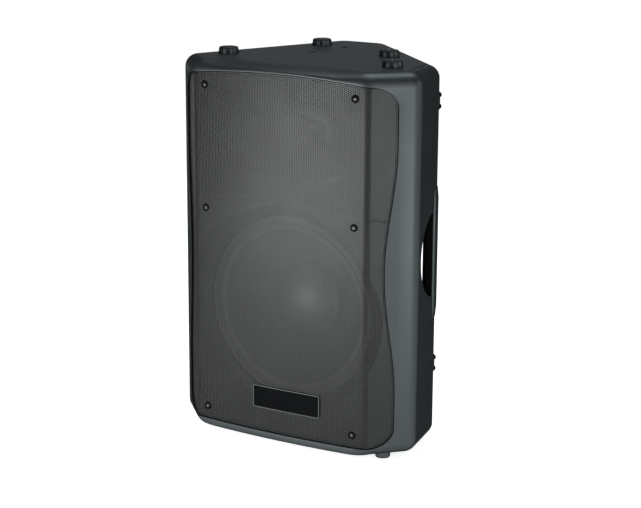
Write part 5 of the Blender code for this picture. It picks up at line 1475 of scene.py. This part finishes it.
class PA_OT_inside(bpy.types.Operator):
    """Give the CAD nodes that still show their finishes"""
    bl_idname = "pa.inside"
    bl_label = "Inside"

    def execute(self, context):
        f = finishes()
        kinds = {"woofer_basket": "panel", "woofer_top_plate": "steel", "woofer_back_plate": "steel"}
        others = {
            # Enamelled copper wire, each turn catching the light
            "voice_coil": material("enamelled_copper", linear("#a8632f"), 0.35, 1.0, grain=0.5, threads="Y",
                                   thread_mm=0.4),
            # Glass-fibre board under green solder mask: glossy, with the traces raised under it
            "amp_board": material("solder_mask", linear("#1f4a2b"), 0.35, grain=0.4, grain_mm=3.0,
                                  threads="Z", thread_mm=2.5),
            # Winding wrapped in overlapping turns of yellow tape
            "power_transformer": material("polyester_tape", linear("#b08a35"), 0.4, grain=0.5, threads="X",
                                          thread_mm=9.0),
            # Formed titanium with faint drawing marks: its near-black colour is painted shade behind the
            # horn's throat
            "hf_diaphragm": material("shade_darkened_titanium", linear("#1c1d1e"), 0.6, 0.7, 0.3, threads="Z",
                                     thread_mm=0.5),
            # Pressed ferrite: a matt near-black ceramic, slightly chalky
            "woofer_magnet": material("pressed_ferrite", linear("#2b2c2e"), 0.8, grain=0.5, grain_mm=0.5),
            # Cast driver body under a thin black stove enamel
            "compression_driver": material("stove_enamelled_zinc", linear("#1a1b1c"), 0.5, 0.7, 0.3,
                                           grain=0.3, grain_mm=1.2),
        }
        for name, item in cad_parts.items():
            made = others.get(name) or f[kinds.get(name, "plastic")]
            item.data.materials.clear()
            item.data.materials.append(made)
        return {"FINISHED"}


# Stage

LIGHT_TARGET = Vector((0.0, -0.1, 0.28))
FLOOR_HALF = 14.0
FLOOR_GLOW_REACH = (0.5, 1.6)
FLOOR_GLOW = (0.80, 1.0)
ROOM_GLOW = 0.01
SENSOR_MM = 36.0
FOCAL_MM = 98.28
CAMERA_TURNS = (31.06, 13.92, 0.32)
CAMERA_AIM = (0.0739, 0.301)
CAMERA_DISTANCE = 2.447


def softbox(name, azimuth, distance, level, width, height, power):
    """A rectangular soft light round the cabinet; azimuth 0 is in front and 90 on its right."""
    turn = math.radians(azimuth)
    lamp = bpy.data.lights.new(name, "AREA")
    lamp.shape, lamp.size, lamp.size_y, lamp.energy = "RECTANGLE", width, height, power
    item = bpy.data.objects.new(name, lamp)
    bpy.context.scene.collection.objects.link(item)
    item.location = (distance * math.sin(turn), -distance * math.cos(turn), level)
    item.rotation_euler = (LIGHT_TARGET - item.location).to_track_quat("-Z", "Y").to_euler()


class PA_OT_stage(bpy.types.Operator):
    """Build the white floor, the soft lights and the camera"""
    bl_idname = "pa.stage"
    bl_label = "Stage"

    def execute(self, context):
        scene = context.scene
        scene.view_settings.view_transform = "Standard"
        self.floor()
        self.world(scene)
        softbox("front_left", -18, 1.0, 0.25, 0.55, 0.40, 7.0)
        softbox("front_high", -20, 1.2, 0.70, 0.50, 0.40, 1.4)
        softbox("right_low", 67, 1.0, 0.25, 0.45, 0.40, 1.9)
        softbox("right_wide", 60, 1.7, 0.50, 0.90, 0.90, 3.1)
        softbox("right_high", 55, 1.2, 0.90, 0.50, 0.40, 0.9)
        softbox("left", -118, 1.5, 0.25, 0.50, 0.50, 2.5)
        softbox("top", 180, 0.3, 2.00, 1.20, 1.20, 18.5)
        softbox("rear_high", -133, 1.3, 1.80, 0.60, 0.40, 1.5)
        softbox("rear_left", -149, 1.7, 1.00, 0.80, 0.50, 4.7)
        softbox("rear_right", 110, 1.5, 0.90, 0.50, 0.50, 2.4)
        self.camera(scene)
        return {"FINISHED"}

    def floor(self):
        shape = bmesh.new()
        bmesh.ops.create_grid(shape, x_segments=1, y_segments=1, size=FLOOR_HALF)
        mesh = to_mesh(shape, "floor")
        # Matt white paper sweep: seen and mirrored as plain white, while it still catches the shadow
        paper = bpy.data.materials.new("white_paper_sweep")
        paper.use_nodes = True
        tree = paper.node_tree
        shader = tree.nodes["Principled BSDF"]
        shader.inputs["Base Color"].default_value = (*colours().floor, 1.0)
        shader.inputs["Roughness"].default_value = 0.9
        shader.inputs["Specular IOR Level"].default_value = 0.0
        path = node(tree, "ShaderNodeLightPath").outputs
        seen = node(tree, "ShaderNodeMath", i0=path["Is Camera Ray"], i1=path["Is Glossy Ray"])
        seen = node(tree, "ShaderNodeMath", i0=seen.outputs["Value"], i1=path["Is Transmission Ray"])
        reach = node(tree, "ShaderNodeVectorMath", i0=node(tree, "ShaderNodeTexCoord").outputs["Object"])
        reach.operation = "LENGTH"
        away = node(tree, "ShaderNodeMapRange", Value=reach.outputs["Value"], From_Min=FLOOR_GLOW_REACH[0],
                    From_Max=FLOOR_GLOW_REACH[1], To_Min=FLOOR_GLOW[0], To_Max=FLOOR_GLOW[1])
        level = node(tree, "ShaderNodeMath", i0=seen.outputs["Value"], i1=away.outputs["Result"])
        level.operation = "MULTIPLY"
        glow = node(tree, "ShaderNodeEmission", Strength=level.outputs["Value"])
        both = node(tree, "ShaderNodeAddShader", i0=shader.outputs["BSDF"], i1=glow.outputs["Emission"])
        tree.links.new(both.outputs["Shader"], tree.nodes["Material Output"].inputs["Surface"])
        mesh.materials.append(paper)
        item = bpy.data.objects.new("floor", mesh)
        bpy.context.scene.collection.objects.link(item)

    def world(self, scene):
        """White where the camera sees past the floor, and dim for other rays, so that black stays black."""
        room = bpy.data.worlds.new("studio")
        room.use_nodes = True
        tree = room.node_tree
        path = node(tree, "ShaderNodeLightPath").outputs
        seen = node(tree, "ShaderNodeMath", i0=path["Is Camera Ray"], i1=path["Is Transmission Ray"])
        level = node(tree, "ShaderNodeMapRange", Value=seen.outputs["Value"], To_Min=ROOM_GLOW, To_Max=1.0)
        shade = tree.nodes["Background"]
        shade.inputs["Color"].default_value = (1.0, 1.0, 1.0, 1.0)
        tree.links.new(level.outputs["Result"], shade.inputs["Strength"])
        scene.world = room

    def camera(self, scene):
        lens = bpy.data.cameras.new("camera")
        lens.sensor_width, lens.lens = SENSOR_MM, FOCAL_MM
        lens.clip_end = 50.0
        item = bpy.data.objects.new("camera", lens)
        scene.collection.objects.link(item)
        yaw, pitch, roll = [math.radians(a) for a in CAMERA_TURNS]
        level, drop = math.cos(pitch), math.sin(pitch)
        forward = Vector((-math.sin(yaw) * level, math.cos(yaw) * level, -drop))
        right = Vector((math.cos(yaw), math.sin(yaw), 0.0))
        up = right.cross(forward)
        turned = right * math.cos(roll) + up * math.sin(roll)
        raised = up * math.cos(roll) - right * math.sin(roll)
        aim = Vector((CAMERA_AIM[0], front_y() + sizes().grille_set, CAMERA_AIM[1]))
        item.matrix_world = Matrix((turned, raised, -forward)).transposed().to_4x4()
        item.location = aim - forward * CAMERA_DISTANCE
        scene.camera = item


class PA_PT_cabinet(bpy.types.Panel):
    """Sizes, colours and build steps of the cabinet"""
    bl_idname = "PA_PT_cabinet"
    bl_label = "PA speaker cabinet"
    bl_space_type = "VIEW_3D"
    bl_region_type = "UI"
    bl_category = "PA cabinet"

    def draw(self, context):
        for group in (context.scene.pa_sizes, context.scene.pa_colours):
            column = self.layout.column(align=True)
            for key in group.__annotations__:
                column.prop(group, key)
        for step in STEPS:
            self.layout.operator(step.bl_idname)


STEPS = (PA_OT_shells, PA_OT_grille, PA_OT_woofer, PA_OT_horn, PA_OT_handle, PA_OT_feet, PA_OT_fasteners,
         PA_OT_amplifier, PA_OT_inside, PA_OT_stage)
CLASSES = (CabinetSizes, CabinetColours, *STEPS, PA_PT_cabinet)


def register():
    for item in CLASSES:
        bpy.utils.register_class(item)
    bpy.types.Scene.pa_sizes = bpy.props.PointerProperty(type=CabinetSizes)
    bpy.types.Scene.pa_colours = bpy.props.PointerProperty(type=CabinetColours)


def unregister():
    del bpy.types.Scene.pa_sizes
    del bpy.types.Scene.pa_colours
    for item in reversed(CLASSES):
        bpy.utils.unregister_class(item)


def main():
    register()
    bpy.ops.pa.shells()
    bpy.ops.pa.grille()
    bpy.ops.pa.woofer()
    bpy.ops.pa.horn()
    bpy.ops.pa.handle()
    bpy.ops.pa.feet()
    bpy.ops.pa.fasteners()
    bpy.ops.pa.amplifier()
    bpy.ops.pa.inside()
    bpy.ops.pa.stage()


if __name__ == "__main__":
    main()
